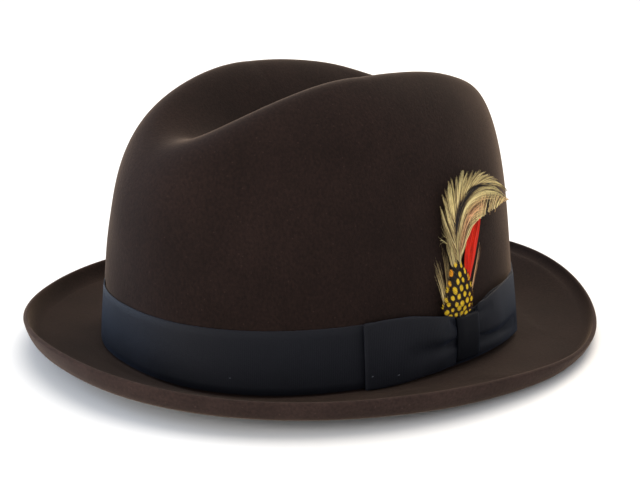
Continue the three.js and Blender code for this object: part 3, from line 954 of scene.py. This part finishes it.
def wing_mesh(stations, pleats, felt, ribbon):
    """Bow wing: one ribbon laid out from the knot, folded at the wing's end and laid back."""
    table = smooth_path(np.array(stations), 600)
    outer_end = stations[0][0]
    knot_end = stations[-1][0]
    length = abs(knot_end - outer_end) * MM
    per_mm = COLUMNS_PER_RIB / ribbon.rib_pitch
    layer = int(length * per_mm)
    back = np.concatenate([
        np.linspace(knot_end, outer_end, layer, endpoint=False),
        np.full(FOLD_COLUMNS, outer_end),
        np.linspace(outer_end, knot_end, layer),
    ])
    # 0 in the under layer, 1 in the face layer
    outer = np.concatenate([np.zeros(layer), np.linspace(0, 1, FOLD_COLUMNS), np.ones(layer)])
    order = np.argsort(table[:, 0])
    bottom, top, puff = (
        np.interp(back, table[order, 0], table[order, i]) * MM for i in (1, 2, 3)
    )
    across = np.linspace(0, 1, WING_ROWS)[:, None]
    from_fold = np.abs(back - outer_end) * MM
    tucked = UNDER_TUCK * smooth_step(from_fold / TUCK_FADE) * (1 - outer)
    up = bottom + (top - tucked - bottom) * across
    places = np.broadcast_to(back * MM, up.shape)
    arch = np.sin(np.pi * (0.04 + 0.92 * across)) ** PUFF_ROUND
    under_lift = WING_SEAT + ribbon.cloth / 2
    # The layers' middles are a little over one cloth apart, also at the foot of a pleat
    face_lift = under_lift + 1.2 * ribbon.cloth + puff * arch - pleat_dip(places, up, pleats)
    face_lift = np.maximum(face_lift, under_lift + 1.05 * ribbon.cloth)
    lift = under_lift + (face_lift - under_lift) * smooth_step(outer)
    bulge = np.sin(np.pi * outer) * FOLD_BULGE * np.sign(outer_end)
    near_knot = smooth_step(1.5 - np.abs(places) / LEAN_REACH)
    lean = KNOT_LEAN * (up - (KNOT_BOTTOM + KNOT_TOP) / 2) * near_knot
    grid = trim_point(places + bulge + lean, up, lift, felt)
    run = np.arange(grid.shape[1]) / per_mm
    return ribbed_sheet(grid, ribbon.cloth, run, BAND_TOP - BAND_BOTTOM)


def knot_mesh(felt, ribbon):
    """Knot: a ribbon folded to the knot's width, laid over the wings and turned in."""
    seat = WING_SEAT + PINCH_THICKNESS + CLEAR
    face = seat + KNOT_CLOTH / 2
    top = KNOT_TOP - 0.6 * MM
    middle = (KNOT_BOTTOM + top) / 2
    # Path over the knot from its lower end: height and lift off the wall
    path = [
        (KNOT_BOTTOM + 1.4 * MM, WING_SEAT + 0.6 * MM),
        (KNOT_BOTTOM + 0.6 * MM, WING_SEAT + 0.9 * MM),
        (KNOT_BOTTOM + 0.6 * MM, seat - 0.4 * MM),
        (KNOT_BOTTOM + 1.5 * MM, face),
    ]
    for up in np.linspace(KNOT_BOTTOM + 3 * MM, top - 1.5 * MM, 6):
        bulge = 0.5 * MM * math.cos((up - middle) / (top - KNOT_BOTTOM) * math.pi)
        path.append((up, face + bulge))
    path += [(top - 0.3 * MM, face - 0.2 * MM), (top, seat - 0.6 * MM)]
    path += [(top - 1.2 * MM, seat - 1 * MM)]
    path = smooth_path(np.array(path), int(KNOT_WAY / ribbon.rib_pitch * COLUMNS_PER_RIB))
    across = np.linspace(0, 1, KNOT_ROWS)[:, None]
    back = KNOT_FRONT + (KNOT_BACK - KNOT_FRONT) * across + np.zeros(len(path))
    # Its sides roll down to the wings, and it is a little narrower in its middle
    rolled = 0.9 * MM * (1 - np.abs(2 * across - 1) ** 8) - 0.6 * MM
    waist = 0.4 * MM * np.cos(np.linspace(-1, 1, len(path)) * math.pi / 2) * (1 - 2 * across)
    lean = KNOT_LEAN * (path[:, 0] - middle)
    grid = trim_point(back + waist + lean, path[:, 0], path[:, 1] + rolled, felt)
    run = np.arange(len(path)) * ribbon.rib_pitch / COLUMNS_PER_RIB
    return ribbed_sheet(grid, KNOT_CLOTH - 0.35 * MM, run, KNOT_BACK - KNOT_FRONT)


def tack_object(felt):
    """Points on the ribbon's faces where thread tacks show, each with its way along them."""
    places = []
    ways = []
    for piece, tacks in TACKS.items():
        mesh = bpy.data.objects[piece].data
        face = np.empty(len(mesh.vertices) * 3)
        mesh.vertices.foreach_get("co", face)
        face = face.reshape(-1, 3)
        for back, up in np.array(tacks) * MM:
            in_front = to_frame(trim_point(back, up, 8 * MM, felt))
            places.append(face[np.linalg.norm(face - in_front, axis=1).argmin()])
            ahead = trim_point(back + MM, up + 0.3 * MM, 0, felt)
            ways.append(ahead - trim_point(back, up, 0, felt))
    mesh = bpy.data.meshes.new("ribbon_tacks")
    mesh.from_pydata(np.array(places).tolist(), [], [])
    layer = mesh.attributes.new("way", "FLOAT_VECTOR", "POINT")
    layer.data.foreach_set("vector", np.array(ways, np.float32).ravel())
    return link_new("ribbon_tacks", mesh)


def smooth_path(points, count):
    """Points at even steps along the Catmull-Rom curve through a path's points."""
    padded = np.concatenate([[2 * points[0] - points[1]], points, [2 * points[-1] - points[-2]]])
    fine = []
    for i in range(len(points) - 1):
        a, b, c, d = padded[i : i + 4]
        t = np.linspace(0, 1, 30, endpoint=False)[:, None]
        bend = (2 * a - 5 * b + 4 * c - d) * t**2
        twist = (3 * b - a - 3 * c + d) * t**3
        fine.append((2 * b + (c - a) * t + bend + twist) / 2)
    fine = np.concatenate([*fine, points[-1:]])
    length = way_to(np.linalg.norm(np.diff(fine, axis=0), axis=1))
    wanted = np.linspace(0, length[-1], count)
    return np.column_stack([np.interp(wanted, length, column) for column in fine.T])


# Feathers


def read_at(share, path):
    """Rows of a path, or of numbers along it, read at shares of its length."""
    even = np.linspace(0, 1, len(path))
    return np.column_stack([np.interp(share, even, column) for column in path.T])


def spine_path(spine):
    """A feather's rows from its table, at even steps along it."""
    return smooth_path(np.array(spine, float), SPINE_POINTS)


def web_at(share, drift):
    """Places at shares of the hackle's length, as far across its web as drift says."""
    stem = read_at(share, spine_path(HACKLE_STEM))
    edge = read_at(share, spine_path(HACKLE_EDGE))
    return stem * (1 - drift[:, None]) + edge * drift[:, None]


def curved(root, middle, tip, count):
    """Points along a bent line from a root to a tip, in millimetres."""
    t = np.linspace(0, 1, count)[:, None]
    root, middle, tip = (np.asarray(place, float) for place in (root, middle, tip))
    return root * (1 - t) ** 2 + 2 * middle * t * (1 - t) + tip * t**2


def barb_object(name, barbs, felt):
    """Lines for barbs: each is its places, half widths, and values for its shade and blush."""
    points = []
    edges = []
    widths = []
    shades_along = []
    blushes = []
    for places, half_width, shade, blush in barbs:
        first = len(widths)
        count = len(places)
        points.append(places)
        widths.extend(np.broadcast_to(half_width, count))
        shades_along.extend(np.broadcast_to(shade, count))
        blushes.extend(np.broadcast_to(blush, count))
        edges += [(first + i, first + i + 1) for i in range(count - 1)]
    back, up, lift = (np.concatenate(points) * MM).T
    values = {"half_width": np.array(widths) * MM, "shade": shades_along, "blush": blushes}
    return link_new(name, new_mesh(name, trim_point(back, up, lift, felt), edges, [], values))


def taper(count, full, tip=0.12, swell=0.25):
    """Half widths along a barb: full up to its swell, then thinning to a share at its tip."""
    t = np.linspace(0, 1, count)
    return full * (1 - (1 - tip) * np.clip((t - swell) / (1 - swell), 0, 1) ** 1.3)


def guinea_spots(chance):
    """Places of the spots, in staggered rows that crowd towards the foot."""
    centres = []
    up, top = SPOT_LEVELS
    row = 0
    while up < top:
        pitch = np.interp(up, *SPOT_PITCH)
        for place in range(-4, 5):
            back = -5 + (place + 0.5 * (row % 2)) * pitch + chance.normal(0, 0.3)
            lean = np.interp(back, (-14, -6), (0.9, 0)) * np.interp(up, (28, 36), (1, 0))
            lean += chance.normal(0, 0.2)
            size = 1 + chance.normal(0, 0.1)
            wide = size * np.interp(up, *SPOT_WIDTH)
            tall = size * np.interp(up, *SPOT_HEIGHT)
            orange = np.clip((abs(back + 4.5) - 3.6) / 2, 0, 0.6) * np.clip((up - 36) / 5, 0, 1)
            centres.append((back, up + chance.normal(0, 0.36), lean, tall, wide, orange))
        up += np.interp(up, *SPOT_ROW_STEP)
        row += 1
    return np.array(centres)


def spots_at(places, centres):
    """How far inside the nearest spot each place is, 1 at its middle, and how orange it is."""
    away = places[:, None, :2] - centres[None, :, :2]
    lean = centres[:, 2]
    along = away[..., 1] * np.cos(lean) - away[..., 0] * np.sin(lean)
    across = away[..., 0] * np.cos(lean) + away[..., 1] * np.sin(lean)
    distance = np.hypot(along / centres[:, 3], across / centres[:, 4])
    nearest = distance.argmin(axis=1)
    inside = np.clip(1 - distance.min(axis=1), 0, 1)
    return inside, centres[nearest, 5]


def guinea_barbs(trim):
    """Short broad feather: close barbs on both sides of its shaft, with staggered spots."""
    chance = np.random.default_rng(11)
    centres = guinea_spots(chance)
    spine = np.array(GUINEA)

    def at(up, column):
        return np.interp(up, spine[:, 1], spine[:, column])

    low = 25
    high = spine[-1, 1] + 0.6
    foot = spine[0, 1]
    points = 20
    barbs = []
    count = trim.guinea_barbs
    for i in range(count):
        tip_up = low + (high - low) * (i / (count - 1)) ** 0.9
        for side in (-1, 1):
            jitter = chance.normal(0, 1, 3)
            half = at(tip_up, 3 if side < 0 else 4) + jitter[0] * 0.3
            middle = at(tip_up, 0)
            lift = at(tip_up, 2)
            root_up = max(tip_up - 2.5 - 0.5 * half, foot)
            root_lift = at(root_up, 2)
            root = (at(root_up, 0) + side * 0.1, root_up, root_lift + 0.25)
            tip = (middle + side * half, tip_up + jitter[1] * 0.35, lift - 0.9)
            bend = (
                middle + side * half * 0.6,
                root_up + (tip_up - root_up) * 0.42,
                (lift + root_lift) / 2 + 0.4 + jitter[2] * 0.06,
            )
            line = curved(root, bend, tip, points)
            inside, orange = spots_at(line, centres)
            reddish = 0.5 * np.clip(line[:, 0] / 4 + 0.6, 0, 1) * np.clip((36 - line[:, 1]) / 8, 0, 1)
            blush = np.where(inside > 0.1, orange, reddish)
            barbs.append((line, taper(points, 0.24, 0.3, 0.6), inside, blush))
    shaft = curved((-3.8, foot, 3.1), (-6, 36, 4.9), (-5.6, high - 1, 4.2), points)
    barbs.append((shaft, taper(points, 0.16), 0, 0))
    return barbs


def red_barbs(trim):
    """Strip whose barbs run nearly along its shaft."""
    chance = np.random.default_rng(23)
    path = spine_path(RED)
    heading = np.gradient(path, axis=0)
    sideways = unit(np.column_stack([heading[:, 1], -heading[:, 0]]))
    points = 24
    barbs = []
    for _ in range(trim.red_barbs):
        across = chance.uniform(-0.5, 0.5)
        start = chance.uniform(0, 0.4) * abs(across) * 2
        end = 1 - chance.uniform(0, 0.3) * (0.3 + abs(across))
        share = np.linspace(start, end, points)
        place = read_at(share, path)
        aside = read_at(share, sideways)
        wave = 0.1 * np.sin(share * chance.uniform(8, 16) + chance.uniform(0, 6))
        spread = across * place[:, 3] + wave
        lift = place[:, 2] + 0.7 * (1 - (2 * across) ** 2) + chance.normal(0, 0.14)
        line = np.column_stack([place[:, :2] + aside * spread[:, None], lift])
        shade = streaky(0.76, chance) + chance.normal(0, 0.1)
        shade = shade + 0.1 * np.sin(share * 22 + across * 9)
        blush = np.clip(chance.normal(0, 0.3), 0, 1)
        barbs.append((line, taper(points, 0.2, 0.15, 0.55), shade, blush))
    return barbs


def streaky(shade, chance):
    """A barb's shade: most stray a little, and some are much darker."""
    if chance.random() < DARK_BARBS:
        return shade * chance.uniform(0.3, 0.6)
    return shade + chance.normal(0, 0.13)


def hackle_locks(trim, chance):
    """Barbs that leave the stem together in locks, each gathered to a few pointed tips."""
    path = spine_path(HACKLE_STEM)
    step = np.linalg.norm(path[1] - path[0])
    area = np.array([math.dist(lock[0], lock[2]) * lock[4] for lock in LOCKS])
    counts = (trim.hackle_barbs * (0.4 / len(LOCKS) + 0.6 * area / area.sum())).astype(int)
    barbs = []
    points = 14
    t = np.linspace(0, 1, points)
    for (root, bend, tip, spread, width, shade), count in zip(LOCKS, counts):
        nearest = np.linalg.norm(path[:, :2] - root, axis=1).argmin()
        way = np.subtract(tip, root) / math.dist(tip, root)
        aside = np.array([way[1], -way[0]])
        tips = max(round(width * 1.8), 1)
        shorter = chance.uniform(0, 2.6, tips)
        shorter[tips // 2] = 0
        for i in range(count):
            across = (i + chance.random()) / count - 0.5
            part = min(int((across + 0.5) * tips), tips - 1)
            gathered = (part + 0.5) / tips - 0.5
            loose = 1 if chance.random() < LOOSE_BARBS else 0
            down = int(spread * abs(chance.normal(0, 0.5)) / step)
            start = path[max(nearest - down, 0)]
            lift = start[2] + chance.normal(0.25, 0.25)
            middle = bend + aside * (across * 2 * width + loose * chance.normal(0, 1))
            short = shorter[part] + abs(chance.normal(0, 0.9)) + loose * 2
            end = tip + aside * (gathered * width * 0.9 + chance.normal(0, 0.1 + loose * 0.9))
            end = end - way * short
            line = curved((*start[:2], lift), (*middle, lift + 0.5), (*end, lift + 0.9), points)
            tone = streaky(shade, chance) * (0.8 + 0.2 * np.sin(np.pi * t**0.8))
            dark = smooth_step((start[1] - CURL_UP) / 5) * np.clip(1.2 - t / 0.2, 0, 1)
            olive = 0.12 * (1 - t)
            barbs.append((line, taper(points, 0.14, 0.08, 0.1), tone - 0.7 * dark, olive))
    return barbs


def hackle_web(trim, chance):
    """Long barbs that follow the stem on its right and trail over the curl."""
    barbs = []
    points = 26
    for _ in range(trim.hackle_barbs):
        across = chance.uniform(0, 1)
        start = chance.uniform(0, 0.55)
        farthest = 1 if across < 0.4 else 0.7
        end = min(start + chance.uniform(0.25, 0.5), farthest)
        share = np.linspace(start, end, points)
        slip = 0.16 * (share - start) / (end - start) * chance.normal(0.6, 1)
        drift = np.clip(across + slip, 0, 1.02)
        line = web_at(share, drift)
        line[:, 0] += 0.18 * np.sin(share * 22 + chance.uniform(0, 6))
        line[:, 2] += chance.normal(0.1, 0.22) + 0.5 * np.sin(np.pi * across)
        high = smooth_step((line[:, 1] - CURL_UP + 1) / 6)
        stripe_edge = 0.28 - 0.14 * np.clip((line[:, 0] - 3) / 14, 0, 1)
        striped = high * np.clip((stripe_edge - drift) / 0.06, 0, 1)
        striped = striped * np.clip((27 - line[:, 0]) / 5, 0, 1)
        pale = chance.random() < 0.12
        tone = streaky(0.72 + 0.14 * smooth_step((share - 0.45) / 0.2), chance)
        tone = tone + 0.2 * (drift > 0.93) + 0.18 * high * (np.abs(drift - 0.36) < 0.08)
        tone = tone * (1 - (0.35 if pale else 0.88) * striped)
        pink = np.exp(-(((drift - 0.66) / 0.2) ** 2)) * smooth_step((line[:, 1] - 47) / 8)
        blush = 0.75 * pink * smooth_step((0.82 - share) / 0.15)
        barbs.append((line, taper(points, 0.16, 0.15, 0.6), tone, blush))
    return barbs


def hackle_fan(chance):
    """Barbs that rise from the web's lower edge and fan out under the curl."""
    barbs = []
    points = 14
    for foot in np.linspace(0.54, 0.97, FAN_BARBS):
        share = np.clip(np.linspace(foot, foot + chance.uniform(0.06, 0.11), points), 0, 1)
        ragged = 1 + 0.05 * math.sin(foot * 190) + chance.normal(0, 0.03)
        line = web_at(share, np.linspace(ragged, chance.uniform(0.26, 0.5), points))
        line[:, 2] += chance.normal(0.5, 0.15)
        tone = streaky(0.86 + 0.12 * math.sin(foot * 130), chance)
        gap = 0.68 < foot < 0.72 or 0.76 < foot < 0.77
        if gap and chance.random() < 0.8:
            tone = 0.15
        barbs.append((line, taper(points, 0.14, 0.2, 0.4), tone, chance.uniform(0, 0.5)))
    return barbs


# Loose wisps, in millimetres: foot, tip, bow of the middle, width, barbs, shade and blush
WISPS = (
    ((-14.2, 30), (-18.3, 48), 1.1, 1.8, 9, 0.84, 0.15),
    ((-13.4, 30), (-16.4, 46.4), 0.8, 1.6, 7, 0.74, 0.15),
    ((-14.6, 29), (-19.4, 42.4), 1, 1.4, 5, 0.8, 0.15),
    ((-12.2, 32), (-13.6, 53), 0.5, 1.2, 5, 0.72, 0.15),
    ((-11, 35), (-11.2, 50), 0.2, 1, 4, 0.7, 0.2),
    ((-9.6, 55.5), (-14.8, 60.2), -0.3, 0.7, 4, 0.95, 0),
    ((-9.4, 58), (-13.6, 61.6), -0.3, 0.6, 3, 0.8, 0),
    ((3.4, 31), (13.6, 50), -1.1, 1.5, 9, 0.85, 0.6),
)


def hackle_wisps(chance):
    """Thin hairs that stand loose about the feathers, most of them at their foot."""
    points = 14
    barbs = []
    for foot, tip, bow, width, count, shade, blush in WISPS:
        for i in range(count):
            across = (i + chance.random()) / count - 0.5
            shift = chance.normal(0, 0.3, 3)
            start = (foot[0] + across * 0.4, foot[1], 2.7)
            end = (tip[0] + across * width + shift[2], tip[1] + 7 * shift[0], 3.3 + shift[1])
            middle = (
                (foot[0] + tip[0]) / 2 + bow + across * width * 1.5 + shift[0],
                (foot[1] + tip[1]) / 2,
                3.4,
            )
            tone = streaky(shade, chance)
            line = curved(start, middle, end, points)
            barbs.append((line, taper(points, 0.065), tone, blush))
    return barbs


def hackle_lines(trim):
    """All the hackle's barbs and, last, its stem."""
    chance = np.random.default_rng(37)
    barbs = hackle_locks(trim, chance) + hackle_web(trim, chance)
    barbs += hackle_fan(chance) + hackle_wisps(chance)
    points = 50
    share = np.linspace(0, 0.72, points)
    stem = read_at(share, spine_path(HACKLE_STEM))
    stem[:, 2] += 0.3
    dark = np.where(stem[:, 1] > CURL_UP, 0.1, 0.55)
    barbs.append((stem, taper(points, 0.26, 0.3), dark, 0))
    return barbs


# Settings


def length_setting(name, description, default):
    return FloatProperty(
        name=name,
        description=description,
        default=default,
        min=0,
        precision=5,
        subtype="DISTANCE",
        unit="LENGTH",
    )


def angle_setting(name, description, degrees):
    return FloatProperty(
        name=name,
        description=description,
        default=math.radians(degrees),
        subtype="ANGLE",
        unit="ROTATION",
    )


def colour_setting(name, description, default):
    return FloatVectorProperty(
        name=name, description=description, default=default, size=3, min=0, subtype="COLOR"
    )


def weight_setting(name, description, default):
    return FloatProperty(name=name, description=description, default=default, min=0, max=1)


def count_setting(name, description, default, least):
    return IntProperty(name=name, description=description, default=default, min=least)


class FedoraFeltSettings(bpy.types.PropertyGroup):
    crown_height: length_setting(
        "Crown height", "Top of the crown over the break before the dent", CROWN_HEIGHT
    )
    dent_depth: length_setting("Dent depth", "How deep the crown is dented", 42 * MM)
    thickness: length_setting("Thickness", "Thickness of the felt", 2 * MM)
    unevenness: length_setting("Unevenness", "Height of the swells left by blocking", 0.35 * MM)
    nap: weight_setting("Nap", "Weight of the felt's soft sheen", 0.3)
    colour: colour_setting("Colour", "Colour of the felt", (0.0138, 0.0076, 0.0062))


class FedoraRibbonSettings(bpy.types.PropertyGroup):
    rib_pitch: length_setting("Rib pitch", "Distance between two ribs", 0.8 * MM)
    rib_height: length_setting("Rib height", "Height of a rib", 0.045 * MM)
    cloth: length_setting("Cloth", "Thickness of the bow's ribbon", 0.6 * MM)
    ease: length_setting("Ease", "How far the band's face strays from the crown", 0.18 * MM)
    tack_length: length_setting("Tack length", "Length of a thread tack", 1 * MM)
    tack_thread: length_setting("Tack thread", "Thickness of a tack's thread", 0.45 * MM)
    sheen: weight_setting("Sheen", "Weight of the ribbon's sheen", 0.08)
    colour: colour_setting("Colour", "Colour of the ribbon", (0.0076, 0.008, 0.0114))


class FedoraTrimSettings(bpy.types.PropertyGroup):
    guinea_barbs: count_setting("Guinea barbs", "Barbs on each side of the shaft", 105, 10)
    red_barbs: count_setting("Red barbs", "Barbs in the red feather", 170, 10)
    hackle_barbs: count_setting("Hackle barbs", "Barbs in each half of the hackle", 600, 20)
    barb_sides: count_setting("Barb sides", "Sides of a barb", 3, 3)
    barb_width: FloatProperty(
        name="Barb width", description="Scale of the barbs' width", default=1, min=0.1
    )
    spot_colour: colour_setting("Spots", "Colour of the guinea spots", (0.8, 0.54, 0.024))
    red_colour: colour_setting("Red", "Colour of the red feather", (0.88, 0.018, 0.002))
    hackle_colour: colour_setting("Hackle", "Palest colour of the hackle", (0.96, 0.83, 0.4))


class FedoraStageSettings(bpy.types.PropertyGroup):
    azimuth: angle_setting("Azimuth", "Camera's turn round the hat from its front", 50.49)
    elevation: angle_setting("Elevation", "Camera's angle above the floor", 15.36)
    roll: angle_setting("Roll", "Camera's tilt about its view", 0.715)
    distance: length_setting("Distance", "Camera's distance from the hat", 585.5 * MM)
    lens: FloatProperty(
        name="Lens",
        description="Focal length, in millimetres",
        default=66.79,
        min=1,
        subtype="DISTANCE_CAMERA",
    )
    floor: length_setting("Floor", "Length of the floor's sides", 8)
    floor_colour: colour_setting("Floor colour", "Colour of the floor", (0.9, 0.9, 0.9))


# Operators


def finish_piece(obj, nodes):
    """Fixes a piece to the frame in place of its solids."""
    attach(obj, BODY)
    if nodes:
        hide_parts(*nodes)


class FEDORA_OT_felt_body(bpy.types.Operator):
    """Make the felt crown and brim as one hollow felt"""

    bl_idname = "fedora.felt_body"
    bl_label = "Felt body"

    def execute(self, context):
        felt = context.scene.fedora_felt
        points, faces, values = felt_mesh(felt)
        obj = make_solid("felt_hood", points, faces, values)
        obj.data.materials.append(felt_finish(felt))
        finish_piece(obj, ["felt_body"])
        return {"FINISHED"}


class FEDORA_OT_ribbon(bpy.types.Operator):
    """Make the band, the bow and the thread tacks that hold them"""

    bl_idname = "fedora.ribbon"
    bl_label = "Ribbon and bow"

    def execute(self, context):
        felt = context.scene.fedora_felt
        ribbon = context.scene.fedora_ribbon
        finish = ribbon_finish("grosgrain", ribbon, 1)
        # The knot's grosgrain is a darker copy of the band's: painted shade
        knot_painted_shade_finish = ribbon_finish("grosgrain_knot_painted_shade", ribbon, KNOT_PAINTED_SHADE)
        ribs = rib_growth()
        pieces = {
            "grosgrain_band": ("ribbon_band", band_mesh(felt, ribbon)),
            "bow_front_loop": (
                "bow_front_wing", wing_mesh(FRONT_WING, FRONT_PLEATS, felt, ribbon)
            ),
            "bow_back_loop": ("bow_back_wing", wing_mesh(BACK_WING, BACK_PLEATS, felt, ribbon)),
            "bow_wrap": ("bow_knot", knot_mesh(felt, ribbon)),
        }
        for name, (node, (points, faces, values)) in pieces.items():
            obj = make_solid(name, points, faces, values)
            given = {
                "Rib pitch": ribbon.rib_pitch,
                "Rib height": ribbon.rib_height,
                "Material": knot_painted_shade_finish if node == "bow_knot" else finish,
            }
            grow(obj, ribs, given)
            finish_piece(obj, [node])
        thread, _, _ = new_finish("tack_thread", TACK_COLOUR, 0.6)
        tacks = tack_object(felt)
        given = {"Length": ribbon.tack_length, "Thread": ribbon.tack_thread, "Material": thread}
        grow(tacks, tack_growth(), given)
        finish_piece(tacks, [])
        return {"FINISHED"}


class FEDORA_OT_guinea_feather(bpy.types.Operator):
    """Make the short feather with yellow spots"""

    bl_idname = "fedora.guinea_feather"
    bl_label = "Guinea feather"

    def execute(self, context):
        make_feather(context, "guinea_barbs")
        return {"FINISHED"}


class FEDORA_OT_red_feather(bpy.types.Operator):
    """Make the narrow red feather"""

    bl_idname = "fedora.red_feather"
    bl_label = "Red feather"

    def execute(self, context):
        make_feather(context, "red_barbs")
        return {"FINISHED"}


class FEDORA_OT_hackle_feather(bpy.types.Operator):
    """Make the curled cream hackle and its loose wisps"""

    bl_idname = "fedora.hackle_feather"
    bl_label = "Hackle feather"

    def execute(self, context):
        make_feather(context, "hackle_barbs")
        return {"FINISHED"}


# The solid that each feather stands for, its slot, its barbs and its finish
FEATHERS = {
    "guinea_barbs": ("guinea_feather", "spotted_feather", guinea_barbs, spotted_finish),
    "red_barbs": ("red_feather", "red_feather", red_barbs, red_finish),
    "hackle_barbs": ("hackle_feather", "cream_feather", hackle_lines, hackle_finish),
}


def make_feather(context, name):
    """Makes one feather of the table above."""
    node, slot, lines, finish = FEATHERS[name]
    trim = context.scene.fedora_trim
    obj = barb_object(name, lines(trim), context.scene.fedora_felt)
    given = {"Sides": trim.barb_sides, "Width": trim.barb_width, "Material": finish(trim)}
    grow(obj, barb_growth(), given)
    finish_piece(obj, [node])


class FEDORA_OT_stage(bpy.types.Operator):
    """Make the pale floor, the soft studio light and the camera"""

    bl_idname = "fedora.stage"
    bl_label = "Stage"

    def execute(self, context):
        stage = context.scene.fedora_stage
        make_floor(stage)
        make_light(context.scene)
        make_camera(context.scene, stage)
        return {"FINISHED"}


def make_floor(stage):
    half = stage.floor / 2
    mesh = bpy.data.meshes.new("floor")
    corners = [(-half, -half, 0), (half, -half, 0), (half, half, 0), (-half, half, 0)]
    mesh.from_pydata(corners, [], [(0, 1, 2, 3)])
    floor = link_new("floor", mesh)
    material, _, _ = new_finish("pale_floor", stage.floor_colour, 0.9, Specular_IOR_Level=0.1)
    mesh.materials.append(material)


# Soft boxes: place, size in metres, power in watts and colour
LAMPS = (
    ("key", (-0.2, -1.6, 0.3), 1.2, 16, (1, 0.97, 0.93)),
    ("side", (-1.4, -0.8, 0.4), 0.9, 11.5, (0.5, 0.7, 1)),
    ("fill", (1.3, -0.9, 0.2), 0.9, 3, (1, 0.97, 0.93)),
    ("right", (1.5, 0.8, 0.5), 0.8, 1, (1, 0.78, 0.62)),
    ("rim", (-0.5, 1.2, 0.9), 0.8, 10, (1, 0.82, 0.62)),
)
# High lamp: the way it shines from, width of its disk in the sky, power and colour
HIGH_LAMP = (-0.2, 0.35, 1.3)
HIGH_LAMP_ANGLE = math.radians(50)
HIGH_LAMP_POWER = 1.7
HIGH_LAMP_COLOUR = (1, 0.92, 0.82)
SKY_COLOUR = (0.94, 0.975, 1.02)
SKY_STRENGTH = 0.72


def place_lamp(data, place):
    """Puts a lamp at its place, turned towards the hat."""
    lamp = link_new(data.name, data)
    lamp.location = place
    lamp.rotation_mode = "QUATERNION"
    lamp.rotation_quaternion = (-Vector(place)).to_track_quat("-Z", "Y")


def make_light(scene):
    world = bpy.data.worlds.new("studio")
    world.use_nodes = True
    sky = world.node_tree.nodes["Background"]
    sky.inputs["Color"].default_value = (*SKY_COLOUR, 1)
    sky.inputs["Strength"].default_value = SKY_STRENGTH
    scene.world = world
    for name, place, size, power, colour in LAMPS:
        data = bpy.data.lights.new(name, "AREA")
        data.shape = "DISK"
        data.size = size
        data.energy = power
        data.color = colour
        place_lamp(data, place)
    high = bpy.data.lights.new("high", "SUN")
    high.angle = HIGH_LAMP_ANGLE
    high.energy = HIGH_LAMP_POWER
    high.color = HIGH_LAMP_COLOUR
    place_lamp(high, HIGH_LAMP)
    scene.view_settings.view_transform = "Standard"


# Camera's aim, from the middle of the break, and its sensor's width in millimetres
AIM = (-8.1 * MM, 10.9 * MM, 37.7 * MM)
SENSOR_WIDTH = 36


def make_camera(scene, stage):
    azimuth, elevation, roll = stage.azimuth, stage.elevation, stage.roll
    back = Vector((
        math.sin(azimuth) * math.cos(elevation),
        -math.cos(azimuth) * math.cos(elevation),
        math.sin(elevation),
    ))
    right = Vector((math.cos(azimuth), math.sin(azimuth), 0))
    up = back.cross(right)
    tilted_right = right * math.cos(roll) + up * math.sin(roll)
    tilted_up = back.cross(tilted_right)
    data = bpy.data.cameras.new("camera")
    data.sensor_width = SENSOR_WIDTH
    data.lens = stage.lens
    data.clip_start = 0.01
    data.clip_end = 100
    camera = link_new("camera", data)
    place = Vector(to_frame(np.array(AIM)).tolist()) + back * stage.distance
    turn = Matrix((tilted_right, tilted_up, back)).transposed().to_4x4()
    camera.matrix_world = Matrix.Translation(place) @ turn
    scene.camera = camera


class FEDORA_PT_panel(bpy.types.Panel):
    """Lists the steps that make the fedora"""

    bl_label = "Fedora"
    bl_idname = "FEDORA_PT_panel"
    bl_space_type = "VIEW_3D"
    bl_region_type = "UI"
    bl_category = "Fedora"

    def draw(self, context):
        for step in STEPS:
            self.layout.operator(step.bl_idname)
        for group in SETTINGS:
            box = self.layout.box()
            settings = getattr(context.scene, group)
            for key in settings.bl_rna.properties.keys():
                if key not in ("rna_type", "name"):
                    box.prop(settings, key)


STEPS = (
    FEDORA_OT_felt_body,
    FEDORA_OT_ribbon,
    FEDORA_OT_guinea_feather,
    FEDORA_OT_red_feather,
    FEDORA_OT_hackle_feather,
    FEDORA_OT_stage,
)
SETTINGS = {
    "fedora_felt": FedoraFeltSettings,
    "fedora_ribbon": FedoraRibbonSettings,
    "fedora_trim": FedoraTrimSettings,
    "fedora_stage": FedoraStageSettings,
}


def register():
    for group in (*SETTINGS.values(), *STEPS, FEDORA_PT_panel):
        bpy.utils.register_class(group)
    for key, group in SETTINGS.items():
        setattr(bpy.types.Scene, key, PointerProperty(type=group))


def unregister():
    for key in SETTINGS:
        delattr(bpy.types.Scene, key)
    for group in reversed((*SETTINGS.values(), *STEPS, FEDORA_PT_panel)):
        bpy.utils.unregister_class(group)


def main():
    """Makes every piece in order."""
    register()
    for step in STEPS:
        group, action = step.bl_idname.split(".")
        getattr(getattr(bpy.ops, group), action)()


if __name__ == "__main__":
    main()
